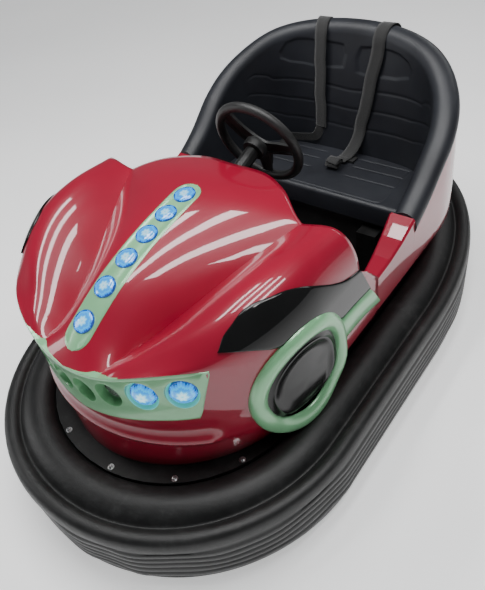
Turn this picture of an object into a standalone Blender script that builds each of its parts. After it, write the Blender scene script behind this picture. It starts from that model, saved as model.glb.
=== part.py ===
"""Two-seat bumper car on three wheels, with a ring tyre all round.

Metres, +Z up. The front faces -Y and the driver's left is +X. The origin is on the ground,
under the middle of the ring tyre. Each object is one sub-part, in its real place.
"""

import math

import bmesh
import bpy
from mathutils import Matrix, Vector

# ---------------------------------------------------------------- driving dimensions
GAP = 0.0003  # between pieces that touch
RUNNING = 0.006  # beside a turning piece
SHAFT_PLAY = 0.0006  # round a shaft in its bore
SKIN = 0.006  # moulded body wall

CAR_LENGTH = 1.950
CAR_WIDTH = 1.150
NOSE_ROUND = 0.569  # length of the tyre's front half-ellipse
TAIL_ROUND = 0.850  # length of the tyre's rear half-ellipse
ARC_STEPS = 22  # flats round each end of the tyre

TYRE_BAND = 0.168  # tyre's width in plan
TYRE_LOW = 0.045
RIM_STEEL = 0.006
RIM_LOW = 0.095
FLANGE_TOP = 0.246  # the body stands here
FLANGE_REACH = 0.068
FLOOR_LOW = 0.112
FLOOR_STEEL = 0.006

BODY_HALF = 0.455  # half the body's width at its widest level
BODY_NOSE_CENTRE = -0.320  # where the straight sides end and the nose round starts
BODY_NOSE_ROUND = 0.424
BODY_TAIL_CENTRE = 0.340
COWL_CORNER = -0.050  # rear end of the front body at the sill
SILL_REAR = 0.165
SILL_TOP = 0.500
SILL_RISE = 0.045

SEAT_TOP = 0.430
CUSHION_THICK = 0.074
SEAT_FRONT = 0.312
SEAT_HALF = 0.370
SEAT_BACK = 0.575
RIM_ROLL = 0.038  # radius of the seat's rolled edge

WHEEL_PIVOT_Y = -0.430  # drive unit's upright axis
DRIVE_RADIUS = 0.125
DRIVE_WIDTH = 0.070
REAR_RADIUS = 0.100
REAR_WIDTH = 0.050
REAR_AXLE_Y = 0.460
REAR_TRACK_HALF = 0.245
AXLE_RADIUS = 0.012
CHEEK = 0.010  # thickness of the plates beside a wheel
BRIDGE_LOW = 0.315
STEM_RADIUS = 0.020
STEM_TOP = 0.500
MOTOR_RADIUS = 0.058
MOTOR_LENGTH = 0.095

HUB_Y, HUB_Z = 0.078, 0.730  # middle of the steering wheel
COLUMN_TILT = math.radians(17.0)
HANDWHEEL_RADIUS = 0.133
HANDWHEEL_TUBE = 0.0145
JACKET_RADIUS = 0.022
SHAFT_RADIUS = 0.012
GEARBOX_HALF = 0.040

LAMP_SEGMENTS = 16
LAMP_RADIUS = 0.029
FRONT_LAMP_RADIUS = 0.040
CUP_RADIUS = 0.029
WEB_WIDTH = 0.045
WEB_THICK = 0.003

COLUMN_AXIS = Vector((0.0, math.cos(COLUMN_TILT), math.sin(COLUMN_TILT)))
HUB = Vector((0.0, HUB_Y, HUB_Z))
PIVOT = Vector((0.0, WHEEL_PIVOT_Y, 0.0))

# Bonnet sections: station, dome height, groove place and height, crest place and height, side edge height
SECTIONS = (
    # y, dome_z, groove_x, groove_z, crest_x, crest_z, edge_z
    (-0.030, 0.728, 0.345, 0.700, 0.395, 0.704, 0.600),
    (-0.170, 0.755, 0.300, 0.703, 0.385, 0.722, 0.600),
    (-0.320, 0.744, 0.238, 0.668, 0.375, 0.735, 0.600),
    (-0.450, 0.720, 0.186, 0.627, 0.350, 0.722, 0.602),
    (-0.560, 0.688, 0.142, 0.594, 0.300, 0.682, 0.612),
    (-0.650, 0.645, 0.115, 0.588, 0.215, 0.638, 0.630),
    (-0.700, 0.615, 0.107, 0.590, 0.165, 0.616, 0.620),
    (-0.744, 0.583, 0.100, 0.583, 0.130, 0.583, 0.583),
)
# Body wall below the bonnet: level, half width, nose round
WALL_LEVELS = (
    (0.545, 0.455, 0.424),
    (0.455, 0.455, 0.424),
    (0.375, 0.455, 0.424),
    (0.310, 0.427, 0.432),
    (FLANGE_TOP + 3.0 * GAP, 0.400, 0.437),
)
# Rear body: level, half width, tail round
TAIL_LEVELS = (
    (FLANGE_TOP + GAP, 0.370, 0.400),
    (0.375, 0.455, 0.420),
    (0.550, 0.455, 0.412),
    (0.700, 0.452, 0.390),
    (0.850, 0.445, 0.350),
)
# Height of the seat's rolled edge along its plan
RIM_HEIGHTS = (
    (0.165, 0.555), (0.250, 0.605), (0.320, 0.660), (0.400, 0.722),
    (0.500, 0.787), (0.580, 0.836), (0.660, 0.868),
)
# Lamps along the bonnet strip and cups along the front bar
BONNET_LAMP_Y = (-0.246, -0.322, -0.398, -0.477, -0.561, -0.648)
BAR_CUPS = (
    # name, x, z, radius, lit
    ("inner", 0.042, 0.522, CUP_RADIUS, False),
    ("outer", 0.116, 0.541, CUP_RADIUS, False),
    ("inner", 0.205, 0.551, FRONT_LAMP_RADIUS, True),
    ("outer", 0.292, 0.557, FRONT_LAMP_RADIUS, True),
)


# ---------------------------------------------------------------- small helpers
def clear_scene():
    for obj in list(bpy.data.objects):
        bpy.data.objects.remove(obj, do_unlink=True)


def material(name, colour, roughness, metallic=0.0):
    mat = bpy.data.materials.get(name) or bpy.data.materials.new(name)
    mat.use_nodes = True
    shader = mat.node_tree.nodes["Principled BSDF"]
    shader.inputs["Base Color"].default_value = (*colour, 1.0)
    shader.inputs["Roughness"].default_value = roughness
    shader.inputs["Metallic"].default_value = metallic
    return mat


MATERIALS = {
    "red": ((0.33, 0.012, 0.045), 0.12, 0.0),
    "mint": ((0.36, 0.58, 0.43), 0.3, 0.0),
    "gloss_black": ((0.008, 0.008, 0.009), 0.08, 0.0),
    "matte_black": ((0.018, 0.019, 0.022), 0.55, 0.0),
    "rubber": ((0.016, 0.016, 0.017), 0.7, 0.0),
    "seat_vinyl": ((0.028, 0.031, 0.038), 0.5, 0.0),
    "webbing": ((0.02, 0.02, 0.022), 0.8, 0.0),
    "black_steel": ((0.012, 0.012, 0.013), 0.35, 0.6),
    "steel": ((0.45, 0.45, 0.46), 0.35, 1.0),
    "blue_lens": ((0.02, 0.25, 0.8), 0.05, 0.0),
}


def add_object(name, mesh_or_bm, finish, origin=None, smooth_angle=40.0):
    """Links an object whose mesh is built in world place; origin moves its pivot only."""
    if isinstance(mesh_or_bm, bmesh.types.BMesh):
        bmesh.ops.recalc_face_normals(mesh_or_bm, faces=mesh_or_bm.faces)
        mesh = bpy.data.meshes.new(name)
        mesh_or_bm.to_mesh(mesh)
        mesh_or_bm.free()
    else:
        mesh = mesh_or_bm
    if origin is not None:
        mesh.transform(Matrix.Translation(-Vector(origin)))
    mesh.shade_smooth()
    mesh.set_sharp_from_angle(angle=math.radians(smooth_angle))
    mesh.materials.append(material(finish, *MATERIALS[finish]))
    obj = bpy.data.objects.new(name, mesh)
    obj.location = origin if origin is not None else (0.0, 0.0, 0.0)
    bpy.context.collection.objects.link(obj)
    return obj


def add_cutter(name, bm):
    obj = add_object(name, bm, "steel")
    obj.hide_render = True
    obj.display_type = "WIRE"
    return obj


def boolean(obj, cutter, operation="DIFFERENCE"):
    mod = obj.modifiers.new(operation.title(), "BOOLEAN")
    mod.operation = operation
    mod.solver = "EXACT"
    mod.object = cutter


def table_value(table, at, column):
    """Smooth reading of a table whose first column rises or falls steadily."""
    rows = table if table[0][0] < table[-1][0] else table[::-1]
    if at <= rows[0][0]:
        return rows[0][column]
    for low, high in zip(rows, rows[1:]):
        if at <= high[0]:
            t = (at - low[0]) / (high[0] - low[0])
            t = t * t * (3.0 - 2.0 * t) * 0.35 + t * 0.65
            return low[column] + (high[column] - low[column]) * t
    return rows[-1][column]


def section_value(y, column):
    return table_value(SECTIONS, y, column)


def signed_power(value, power):
    return math.copysign(abs(value) ** power, value)


def loft(loops, close_loops=True, close_path=False, cap=True):
    """Skins a list of equal point loops into one body."""
    bm = bmesh.new()
    rings = [[bm.verts.new(p) for p in loop] for loop in loops]
    count = len(rings[0])
    pairs = list(zip(rings, rings[1:]))
    if close_path:
        pairs.append((rings[-1], rings[0]))
    for a, b in pairs:
        for i in range(count if close_loops else count - 1):
            j = (i + 1) % count
            bm.faces.new((a[i], a[j], b[j], b[i]))
    if cap and not close_path:
        bm.faces.new(rings[0])
        bm.faces.new(rings[-1][::-1])
    return bm


def cylinder(radius, start, end, segments=32, top_radius=None):
    """A round bar between two points, with a corner pointing straight down where it lies flat."""
    start, end = Vector(start), Vector(end)
    axis = end - start
    side = Vector((0.0, 0.0, 1.0)) if abs(axis.normalized().z) < 0.9 else Vector((1.0, 0.0, 0.0))
    u = (side - side.project(axis)).normalized()
    v = axis.normalized().cross(u)
    loops = []
    for centre, r in ((start, radius), (end, top_radius or radius)):
        angles = [2.0 * math.pi * k / segments for k in range(segments)]
        loops.append([centre + r * (math.cos(a) * u + math.sin(a) * v) for a in angles])
    return loft(loops)


def box(low, high):
    bm = bmesh.new()
    bmesh.ops.create_cube(bm, size=1.0)
    low, high = Vector(low), Vector(high)
    size = high - low
    for vert in bm.verts:
        vert.co = low + Vector(((vert.co.x + 0.5) * size.x, (vert.co.y + 0.5) * size.y, (vert.co.z + 0.5) * size.z))
    return bm


def prism_x(outline, x_low, x_high):
    """An outline of (y, z) points, drawn out along X."""
    return loft([[Vector((x, y, z)) for y, z in outline] for x in (x_low, x_high)])


def prism_z(outline, z_low, z_high):
    return loft([[Vector((x, y, z)) for x, y in outline] for z in (z_low, z_high)])


def ellipse(centre_u, centre_v, radius_u, radius_v, count=28):
    angles = [2.0 * math.pi * k / count for k in range(count)]
    return [(centre_u + radius_u * math.cos(a), centre_v + radius_v * math.sin(a)) for a in angles]


def join(objects_bm):
    """One bmesh holding several closed shells that a union makes into one body."""
    bm = bmesh.new()
    for part in objects_bm:
        mesh = bpy.data.meshes.new("part")
        part.to_mesh(mesh)
        part.free()
        bm.from_mesh(mesh)
        bpy.data.meshes.remove(mesh)
    return bm


def union(name, pieces, finish, origin=None):
    """Joins overlapping closed shapes into one object."""
    base = add_object(name, pieces[0], finish, origin)
    for number, piece in enumerate(pieces[1:]):
        boolean(base, add_cutter(f"{name}_add_{number}", piece), "UNION")
    return base


# ---------------------------------------------------------------- ring tyre, rim and floor
def tyre_plan(inset):
    """Closed plan of the tyre, moved inwards by an inset: a tail round and a nose round."""
    half = CAR_WIDTH / 2.0 - inset
    nose_centre = -(CAR_LENGTH / 2.0 - NOSE_ROUND)
    tail_centre = CAR_LENGTH / 2.0 - TAIL_ROUND
    points = []
    for centre, round_length, start in ((tail_centre, TAIL_ROUND, 0.0), (nose_centre, NOSE_ROUND, math.pi)):
        for k in range(ARC_STEPS + 1):
            angle = start + math.pi * k / ARC_STEPS
            x = half * signed_power(math.cos(angle), 0.963)
            points.append((x, centre + (round_length - inset) * math.sin(angle)))
    return points


def ring(profile):
    """Sweeps (inset, z) points round the tyre's plan."""
    plans = {inset: tyre_plan(inset) for inset, _ in profile}
    loops = []
    for k in range(2 * (ARC_STEPS + 1)):
        loops.append([Vector((*plans[inset][k], z)) for inset, z in profile])
    return loft(loops, close_path=True)


def make_tyre_and_floor():
    band = TYRE_BAND
    tyre_profile = (
        (0.012, TYRE_LOW + 0.005), (0.0, 0.100), (0.0, 0.190), (0.008, 0.235), (0.018, 0.246), (0.045, 0.244),
        (0.056, 0.230), (0.066, 0.240), (0.085, 0.256), (0.115, 0.262), (0.145, 0.254), (band, 0.236),
        (band, 0.080), (0.150, 0.055), (0.040, TYRE_LOW),
    )
    add_object("bumper_tyre", ring(tyre_profile), "rubber")

    rim_out = band + GAP
    rim_in = rim_out + RIM_STEEL
    rim_profile = (
        (rim_out, RIM_LOW), (rim_out, FLANGE_TOP), (rim_out + FLANGE_REACH, FLANGE_TOP),
        (rim_out + FLANGE_REACH, FLANGE_TOP - RIM_STEEL), (rim_in, FLANGE_TOP - RIM_STEEL), (rim_in, RIM_LOW),
    )
    add_object("tyre_rim", ring(rim_profile), "black_steel")

    floor_top = FLOOR_LOW + FLOOR_STEEL
    floor = add_object("floor_pan", prism_z(tyre_plan(rim_in + GAP), FLOOR_LOW, floor_top), "black_steel")
    sweep = math.hypot(DRIVE_WIDTH / 2.0 + RUNNING + CHEEK + MOTOR_LENGTH, MOTOR_RADIUS) + RUNNING
    well = cylinder(sweep, PIVOT + Vector((0, 0, FLOOR_LOW - 0.02)), PIVOT + Vector((0, 0, floor_top + 0.02)), 40)
    boolean(floor, add_cutter("drive_well", well))
    for side in (-1, 1):
        half = REAR_WIDTH / 2.0 + RUNNING + CHEEK + GAP
        reach = REAR_RADIUS + RUNNING
        slot = box(
            (side * REAR_TRACK_HALF - half, REAR_AXLE_Y - reach, FLOOR_LOW - 0.02),
            (side * REAR_TRACK_HALF + half, REAR_AXLE_Y + reach, floor_top + 0.02),
        )
        boolean(floor, add_cutter(f"rear_slot_{side}", slot))


# ---------------------------------------------------------------- front body
def nose_half(y):
    """Half width of the body's plan at a station."""
    if y >= BODY_NOSE_CENTRE:
        return BODY_HALF
    t = min(1.0, (BODY_NOSE_CENTRE - y) / BODY_NOSE_ROUND)
    return BODY_HALF * math.sqrt(1.0 - t * t)


def bonnet_height(x, y):
    """Height of the bonnet: a middle dome, two grooves and two wing crests."""
    _, dome_z, groove_x, groove_z, crest_x, crest_z, edge_z = (section_value(y, c) for c in range(7))
    x = abs(x)
    edge_x = max(nose_half(y), crest_x + 0.001)
    if x <= groove_x:
        t = x / groove_x
        return groove_z + (dome_z - groove_z) * (1.0 - t * t) ** 0.9
    if x <= crest_x:
        t = (x - groove_x) / (crest_x - groove_x)
        return groove_z + (crest_z - groove_z) * math.sin(0.5 * math.pi * t)
    t = min(1.0, (x - crest_x) / (edge_x - crest_x))
    return edge_z + (crest_z - edge_z) * math.sqrt(max(0.0, 1.0 - t * t))


def cowl_line(x):
    """Rear end of the bonnet in plan."""
    rows = ((0.0, -0.045), (0.12, -0.045), (0.20, -0.085), (0.30, -0.160), (0.38, -0.160), (0.455, -0.150))
    return table_value(rows, abs(x), 1)


def wall_rear(z):
    """Rear end of the front body's side wall."""
    return COWL_CORNER - 0.9 * max(0.0, min(z, 0.611) - SILL_TOP)


CAP_COLUMNS = 7  # on each side of the middle line
GROOVE_COLUMN = 4
NOSE_ROWS = 7
STRAIGHT_ROWS = 3


def cap_point(column, row):
    """Plan place of a bonnet grid point; columns run -n..n, rows from the nose back."""
    share = abs(column) / CAP_COLUMNS
    groove_share = GROOVE_COLUMN / CAP_COLUMNS

    def warp(groove):
        if share <= groove_share:
            return groove * share / groove_share
        outer = (share - groove_share) / (1.0 - groove_share)
        return groove + (1.0 - groove) * outer ** 0.85

    if row <= NOSE_ROWS:
        v = 1.0 - row / NOSE_ROWS
        groove = 0.4
        for _ in range(12):
            y = BODY_NOSE_CENTRE - BODY_NOSE_ROUND * v * math.sqrt(1.0 - groove * groove / 2.0)
            groove = section_value(y, 2) / (BODY_HALF * math.sqrt(1.0 - v * v / 2.0))
        u = warp(groove)
        x = BODY_HALF * u * math.sqrt(1.0 - v * v / 2.0)
        y = BODY_NOSE_CENTRE - BODY_NOSE_ROUND * v * math.sqrt(1.0 - u * u / 2.0)
    else:
        t = (row - NOSE_ROWS) / STRAIGHT_ROWS
        groove = section_value(BODY_NOSE_CENTRE, 2) / BODY_HALF
        x = BODY_HALF * warp(groove)
        for _ in range(4):
            y = BODY_NOSE_CENTRE + (cowl_line(x) - BODY_NOSE_CENTRE) * t
            groove = section_value(y, 2) / BODY_HALF
            x = BODY_HALF * warp(groove)
    return math.copysign(x, column), y


def front_surface():
    """Open outer surface of the front body: bonnet grid and wall. Returns points and faces."""
    rows = NOSE_ROWS + STRAIGHT_ROWS + 1
    columns = list(range(-CAP_COLUMNS, CAP_COLUMNS + 1))
    points, faces, index = [], [], {}
    for row in range(rows):
        for column in columns:
            x, y = cap_point(column, row)
            index[column, row] = len(points)
            points.append(Vector((x, y, bonnet_height(x, y))))
    for row in range(rows - 1):
        for column in columns[:-1]:
            faces.append((index[column, row], index[column + 1, row],
                          index[column + 1, row + 1], index[column, row + 1]))
    # edge from the rear right corner round the nose to the rear left corner
    edge = [index[-CAP_COLUMNS, row] for row in range(rows - 1, 0, -1)]
    edge += [index[column, 0] for column in columns]
    edge += [index[CAP_COLUMNS, row] for row in range(1, rows)]
    above = edge
    for level, half, nose in WALL_LEVELS:
        below = []
        for top in edge:
            x, y, _ = points[top]
            if y < BODY_NOSE_CENTRE:
                y = BODY_NOSE_CENTRE + (y - BODY_NOSE_CENTRE) * nose / BODY_NOSE_ROUND
            else:
                share = (y - BODY_NOSE_CENTRE) / (cowl_line(BODY_HALF) - BODY_NOSE_CENTRE)
                y = BODY_NOSE_CENTRE + share * (wall_rear(level) - BODY_NOSE_CENTRE)
            below.append(len(points))
            points.append(Vector((x * half / BODY_HALF, y, level)))
        for k in range(len(edge) - 1):
            faces.append((above[k], below[k], below[k + 1], above[k + 1]))
        above = below
    return points, split_quads(points, faces)


def split_quads(points, faces):
    """Cuts each four-sided face along the diagonal that mirrors about the middle plane."""
    triangles = []
    for a, b, c, d in faces:
        if sum(points[i].x for i in (a, b, c, d)) < 0.0:
            triangles += [(a, b, c), (a, c, d)]
        else:
            triangles += [(a, b, d), (b, c, d)]
    return triangles


def offset_surface(points, faces, low, high, keep=None):
    """Closed solid between two offsets of an open surface; keep picks faces by their centre."""
    if keep:
        faces = [face for face in faces if keep(sum((points[i] for i in face), Vector()) / len(face))]
    used = {i: None for face in faces for i in face}
    bm = bmesh.new()
    lookup = {i: bm.verts.new(points[i]) for i in used}
    for face in faces:
        bm.faces.new([lookup[i] for i in face])
    verts = list(lookup.values())
    bmesh.ops.recalc_face_normals(bm, faces=bm.faces)
    highest = max(bm.faces, key=lambda f: f.calc_center_median().z)
    if highest.normal.z < 0.0:
        bmesh.ops.reverse_faces(bm, faces=bm.faces)
    bm.normal_update()
    normals = [v.normal.copy() for v in verts]
    outer = {v: bm.verts.new(v.co + n * high) for v, n in zip(verts, normals)}
    rim = [(e.verts[0], e.verts[1], e.link_faces[0]) for e in bm.edges if e.is_boundary]
    skins = [tuple(f.verts) for f in bm.faces]
    for v, n in zip(verts, normals):
        v.co = v.co + n * low
    for loop in skins:
        bm.faces.new([outer[v] for v in loop])
    for a, b, _ in rim:
        bm.faces.new((a, b, outer[b], outer[a]))
    bmesh.ops.recalc_face_normals(bm, faces=bm.faces)
    return bm


def rounded_strip(half_width, y_rear, y_front, steps=8):
    """Plan outline of a straight strip with round ends."""
    points = []
    for centre, turn in ((y_rear - half_width, 0.0), (y_front + half_width, math.pi)):
        for k in range(steps + 1):
            angle = turn + math.pi * k / steps
            points.append((half_width * math.cos(angle), centre + half_width * math.sin(angle)))
    return points


def strip_rows(half_width, y_rear, y_front, ends=4, middle=8):
    """Half width and station of a round-ended strip, rear to front."""
    rows = []
    for k in range(1, ends + 1):
        angle = 0.5 * math.pi * k / ends
        rows.append((half_width * math.sin(angle), y_rear - half_width * (1.0 - math.cos(angle))))
    straight = (y_front + half_width) - (y_rear - half_width)
    rows += [(half_width, y_rear - half_width + straight * k / middle) for k in range(1, middle)]
    ends_rows = [(half, y_front + (y_rear - y)) for half, y in rows[:ends]]
    return rows + ends_rows[::-1]


def surface_normal(x, y, step=0.004):
    dx = bonnet_height(x + step, y) - bonnet_height(x - step, y)
    dy = bonnet_height(x, y + step) - bonnet_height(x, y - step)
    return Vector((-dx, -dy, 2.0 * step)).normalized()


def make_front_body():
    points, faces = front_surface()
    shell = add_object("front_body", offset_surface(points, faces, -SKIN, 0.0), "red", smooth_angle=30.0)

    # light strip let into the bonnet
    strip_half, strip_rear, strip_front = 0.041, -0.200, -0.695
    cut_plan = rounded_strip(strip_half + GAP, strip_rear + GAP, strip_front - GAP)
    boolean(shell, add_cutter("strip_slot", prism_z(cut_plan, 0.52, 0.90)))
    loops = []
    for k, (half, y) in enumerate(strip_rows(strip_half, strip_rear, strip_front)):
        xs = [half * share for share in (-1.0, -0.5, 0.0, 0.5, 1.0)]
        top = [Vector((x, y, bonnet_height(x, y) + 0.001)) for x in xs]
        loops.append(top + [Vector((p.x, p.y, p.z - 0.017)) for p in top[::-1]])
    strip = add_object("bonnet_light_strip", loft(loops), "mint", smooth_angle=30.0)
    pockets = []
    for number, y in enumerate(BONNET_LAMP_Y, 1):
        foot = Vector((0.0, y, bonnet_height(0.0, y)))
        normal = surface_normal(0.0, y)
        pockets.append(cylinder(LAMP_RADIUS + 2.0 * GAP, foot - normal * 0.010, foot + normal * 0.03, LAMP_SEGMENTS))
        add_object(f"bonnet_lamp_{number}", lamp(foot - normal * (0.010 - GAP), normal, LAMP_RADIUS), "blue_lens")

    boolean(strip, add_cutter("lamp_pockets", join(pockets)))

    # light bar let into the nose
    bar_top = ((0.0, 0.583), (0.09, 0.592), (0.168, 0.609), (0.226, 0.622), (0.282, 0.629), (0.350, 0.620))
    bar_low = ((0.350, 0.470), (0.290, 0.463), (0.228, 0.458), (0.140, 0.446), (0.0, 0.421))
    right_half = bar_top[:-1] + ((0.347, 0.600), (0.330, 0.530), (0.308, 0.457)) + bar_low[2:-1]
    outline = [(x, z) for x, z in right_half] + [(0.0, 0.421)] + [(-x, z) for x, z in right_half[:0:-1]]
    bar_solid = offset_surface(points, faces, -0.026, -0.0005, lambda c: c.y < -0.50 and 0.40 < c.z < 0.68)
    bar = add_object("front_light_bar", bar_solid, "mint", smooth_angle=30.0)
    boolean(bar, add_cutter("bar_outline", bar_block(outline, 0.003)), "INTERSECT")
    boolean(shell, add_cutter("bar_slot", bar_block(outline, 0.003 - GAP)))
    cups = []
    for side, label in ((-1, "right"), (1, "left")):
        for place, x, z, radius, lit in BAR_CUPS:
            foot, normal = nose_point(side * x, z)
            depth = 0.014 if lit else 0.018
            mouth = radius + 2.0 * GAP
            cups.append(cylinder(mouth, foot - normal * depth, foot + normal * 0.03, LAMP_SEGMENTS))
            if lit:
                lens = lamp(foot - normal * (depth - GAP), normal, radius, 0.014)
                add_object(f"front_lamp_{label}_{place}", lens, "blue_lens")
    boolean(bar, add_cutter("bar_cups", join(cups)))
    return points, faces


def bar_block(outline, shrink):
    """Block in front of the nose, drawn along Y, with an outline of (x, z) points pulled in a little."""
    centre_z = sum(z for _, z in outline) / len(outline)
    points = []
    for x, z in outline:
        points.append((x - math.copysign(min(shrink, abs(x)), x), z - math.copysign(shrink, z - centre_z)))
    return loft([[Vector((x, y, z)) for x, z in points] for y in (-0.90, BODY_NOSE_CENTRE - 0.19)])


def nose_point(x, z):
    """Point and outward normal on the nose wall."""
    y = BODY_NOSE_CENTRE - BODY_NOSE_ROUND * math.sqrt(1.0 - (x / BODY_HALF) ** 2)
    normal = Vector((x / BODY_HALF**2, (y - BODY_NOSE_CENTRE) / BODY_NOSE_ROUND**2, 0.0)).normalized()
    return Vector((x, y, z)), normal


def lamp(foot, normal, radius, height=0.012):
    """Round lamp: a short body with a domed lens on it."""
    side = normal.cross(Vector((1.0, 0.0, 0.0)) if abs(normal.x) < 0.9 else Vector((0.0, 1.0, 0.0))).normalized()
    other = normal.cross(side)
    loops = []
    for reach, rise in ((1.0, 0.0), (1.0, height), (0.72, height + 0.009)):
        ring_points = []
        for k in range(LAMP_SEGMENTS):
            angle = 2.0 * math.pi * k / LAMP_SEGMENTS
            offset = radius * reach * (math.cos(angle) * side + math.sin(angle) * other)
            ring_points.append(foot + offset + normal * rise)
        loops.append(ring_points)
    return loft(loops)


# ---------------------------------------------------------------- side trim
ARCH_Y, ARCH_Z = -0.391, 0.448  # middle of the side rings
RING_OUT = (0.158, 0.180)
RING_IN = (0.116, 0.132)
FLASH_OUTLINE = (
    # y, z from the front tip along the top edge to the rear, then back along the lower edge
    (-0.566, 0.658), (-0.541, 0.680), (-0.514, 0.695), (-0.474, 0.713), (-0.435, 0.718),
    (-0.387, 0.715), (-0.350, 0.703), (-0.311, 0.681), (-0.261, 0.649), (-0.224, 0.627),
    (-0.164, 0.605), (-0.104, 0.502), (-0.250, 0.515), (-0.391, 0.560), (-0.470, 0.590), (-0.484, 0.628),
)


def make_side_trim(points, faces):
    for side, label in ((-1, "right"), (1, "left")):
        x_low, x_high = sorted((side * 0.335, side * 0.56))
        stem = [(-0.290, 0.440), (COWL_CORNER - 0.004, 0.417), (COWL_CORNER - 0.048, 0.498), (-0.250, 0.513)]

        def beside(centre, side=side):
            return side * centre.x > 0.28

        ring_solid = add_object(f"arch_ring_{label}", offset_surface(points, faces, GAP, 0.020, beside), "mint")
        cutter = add_cutter(f"ring_outline_{label}",
                            prism_x(ellipse(ARCH_Y, ARCH_Z, *RING_OUT, 24), x_low, x_high))
        boolean(cutter, add_cutter(f"ring_stem_{label}", prism_x(stem, x_low + 0.001, x_high - 0.001)), "UNION")
        hole = prism_x(ellipse(ARCH_Y, ARCH_Z, *RING_IN, 20), x_low - 0.01, x_high + 0.01)
        boolean(cutter, add_cutter(f"ring_hole_{label}", hole))
        boolean(ring_solid, cutter, "INTERSECT")

        disc = add_object(f"arch_disc_{label}", offset_surface(points, faces, GAP, 0.004, beside), "matte_black")
        inside = ellipse(ARCH_Y, ARCH_Z, RING_IN[0] - 2.0 * GAP, RING_IN[1] - 2.0 * GAP, 20)
        boolean(disc, add_cutter(f"disc_outline_{label}", prism_x(inside, x_low, x_high)), "INTERSECT")

        flash = add_object(f"side_flash_{label}", offset_surface(points, faces, GAP, 0.004, beside), "gloss_black")
        flash_low, flash_high = sorted((side * 0.354, side * 0.56))
        cutter = add_cutter(f"flash_outline_{label}", prism_x(FLASH_OUTLINE, flash_low, flash_high))
        outside = ellipse(ARCH_Y, ARCH_Z, RING_OUT[0] + 2.0 * GAP, RING_OUT[1] + 2.0 * GAP, 24)
        boolean(cutter, add_cutter(f"flash_round_{label}", prism_x(outside, x_low - 0.01, x_high + 0.01)))
        wide_stem = [(y, z + math.copysign(GAP, z - ARCH_Z)) for y, z in stem]
        boolean(cutter, add_cutter(f"flash_stem_{label}", prism_x(wide_stem, x_low - 0.01, x_high + 0.01)))
        boolean(flash, cutter, "INTERSECT")


# ---------------------------------------------------------------- rear body, sills and seat
def tail_plan(angle, half, tail, power=2.0):
    """Plan point of the tail round; angle 0 is the left side, 90 degrees the rear."""
    x = half * signed_power(math.cos(angle), 2.0 / power)
    y = BODY_TAIL_CENTRE + tail * abs(math.sin(angle)) ** (2.0 / power)
    return x, y


def tail_stations(straight=3, turns=14):
    """Stations of the U plan: a share along a straight side, or an angle round the tail."""
    sides = [k / straight for k in range(straight)]
    stations = [("left", share) for share in sides]
    stations += [("turn", math.pi * k / turns) for k in range(turns + 1)]
    stations += [("right", share) for share in sides[::-1]]
    return stations


def station_point(station, half, tail, power, front):
    kind, value = station
    if kind == "turn":
        return tail_plan(value, half, tail, power)
    y = front + (BODY_TAIL_CENTRE - front) * value
    return (half if kind == "left" else -half), y


def rim_height(station):
    _, y = station_point(station, 0.420, 0.318, 2.1, SILL_REAR)
    return table_value(RIM_HEIGHTS, y, 1)


def make_rear_body():
    outer, inner = [], []
    for station in tail_stations():
        top = rim_height(station) - RIM_ROLL - 0.022
        low = FLANGE_TOP + GAP
        columns = ([], [])
        for share in (0.0, 0.32, 0.62, 0.84, 1.0):
            z = low + (top - low) * share
            half, tail = (table_value(TAIL_LEVELS, z, c) for c in (1, 2))
            for column, inset in zip(columns, (0.0, SKIN)):
                x, y = station_point(station, half - inset, tail - inset, 2.15, SILL_REAR)
                column.append(Vector((x, y, z)))
        outer.append(columns[0])
        inner.append(columns[1])
    loops = [o + i[::-1] for o, i in zip(outer, inner)]
    add_object("rear_body", loft(loops), "red")


def make_sills():
    front, rear = COWL_CORNER + GAP, SILL_REAR - GAP
    for side, label in ((-1, "right"), (1, "left")):
        loops = []
        for share in (0.0, 0.33, 0.66, 1.0):
            y = front + (rear - front) * share
            top = SILL_TOP + SILL_RISE * share * share
            inner = 0.415 - 0.033 * share
            foot = WALL_LEVELS[-1][1] + (TAIL_LEVELS[0][1] - WALL_LEVELS[-1][1]) * share
            profile = (
                (foot, FLANGE_TOP + GAP), (BODY_HALF, 0.375), (BODY_HALF, top - 0.006), (BODY_HALF - 0.006, top),
                (inner, top), (inner - SKIN, top - SKIN), (inner - SKIN, top - 0.060), (inner, top - 0.060),
                (inner, top - 2.0 * SKIN), (BODY_HALF - SKIN, top - 2.0 * SKIN), (BODY_HALF - SKIN, 0.377),
                (foot - SKIN, FLANGE_TOP + GAP),
            )
            loops.append([Vector((side * x, y, z)) for x, z in profile])
        add_object(f"sill_{label}", loft(loops), "red")


def seat_inner(station, z):
    """Inner face of the seat shell: nearly square at the cushion, round at the rolled edge."""
    top = rim_height(station) - RIM_ROLL
    share = max(0.0, min(1.0, (z - SEAT_TOP) / (top - SEAT_TOP)))
    low = station_point(station, SEAT_HALF, SEAT_BACK - BODY_TAIL_CENTRE, 3.6, SILL_REAR)
    high = station_point(station, 0.384, 0.284, 2.2, SILL_REAR)
    return Vector((low[0] + (high[0] - low[0]) * share, low[1] + (high[1] - low[1]) * share, z))


def station_normal(station):
    x, y = station_point(station, 0.420, 0.318, 2.1, SILL_REAR)
    kind, value = station
    if kind != "turn":
        return Vector((1.0 if kind == "left" else -1.0, 0.0, 0.0))
    return Vector((math.cos(value) / 0.420, math.sin(value) / 0.318, 0.0)).normalized()


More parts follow.
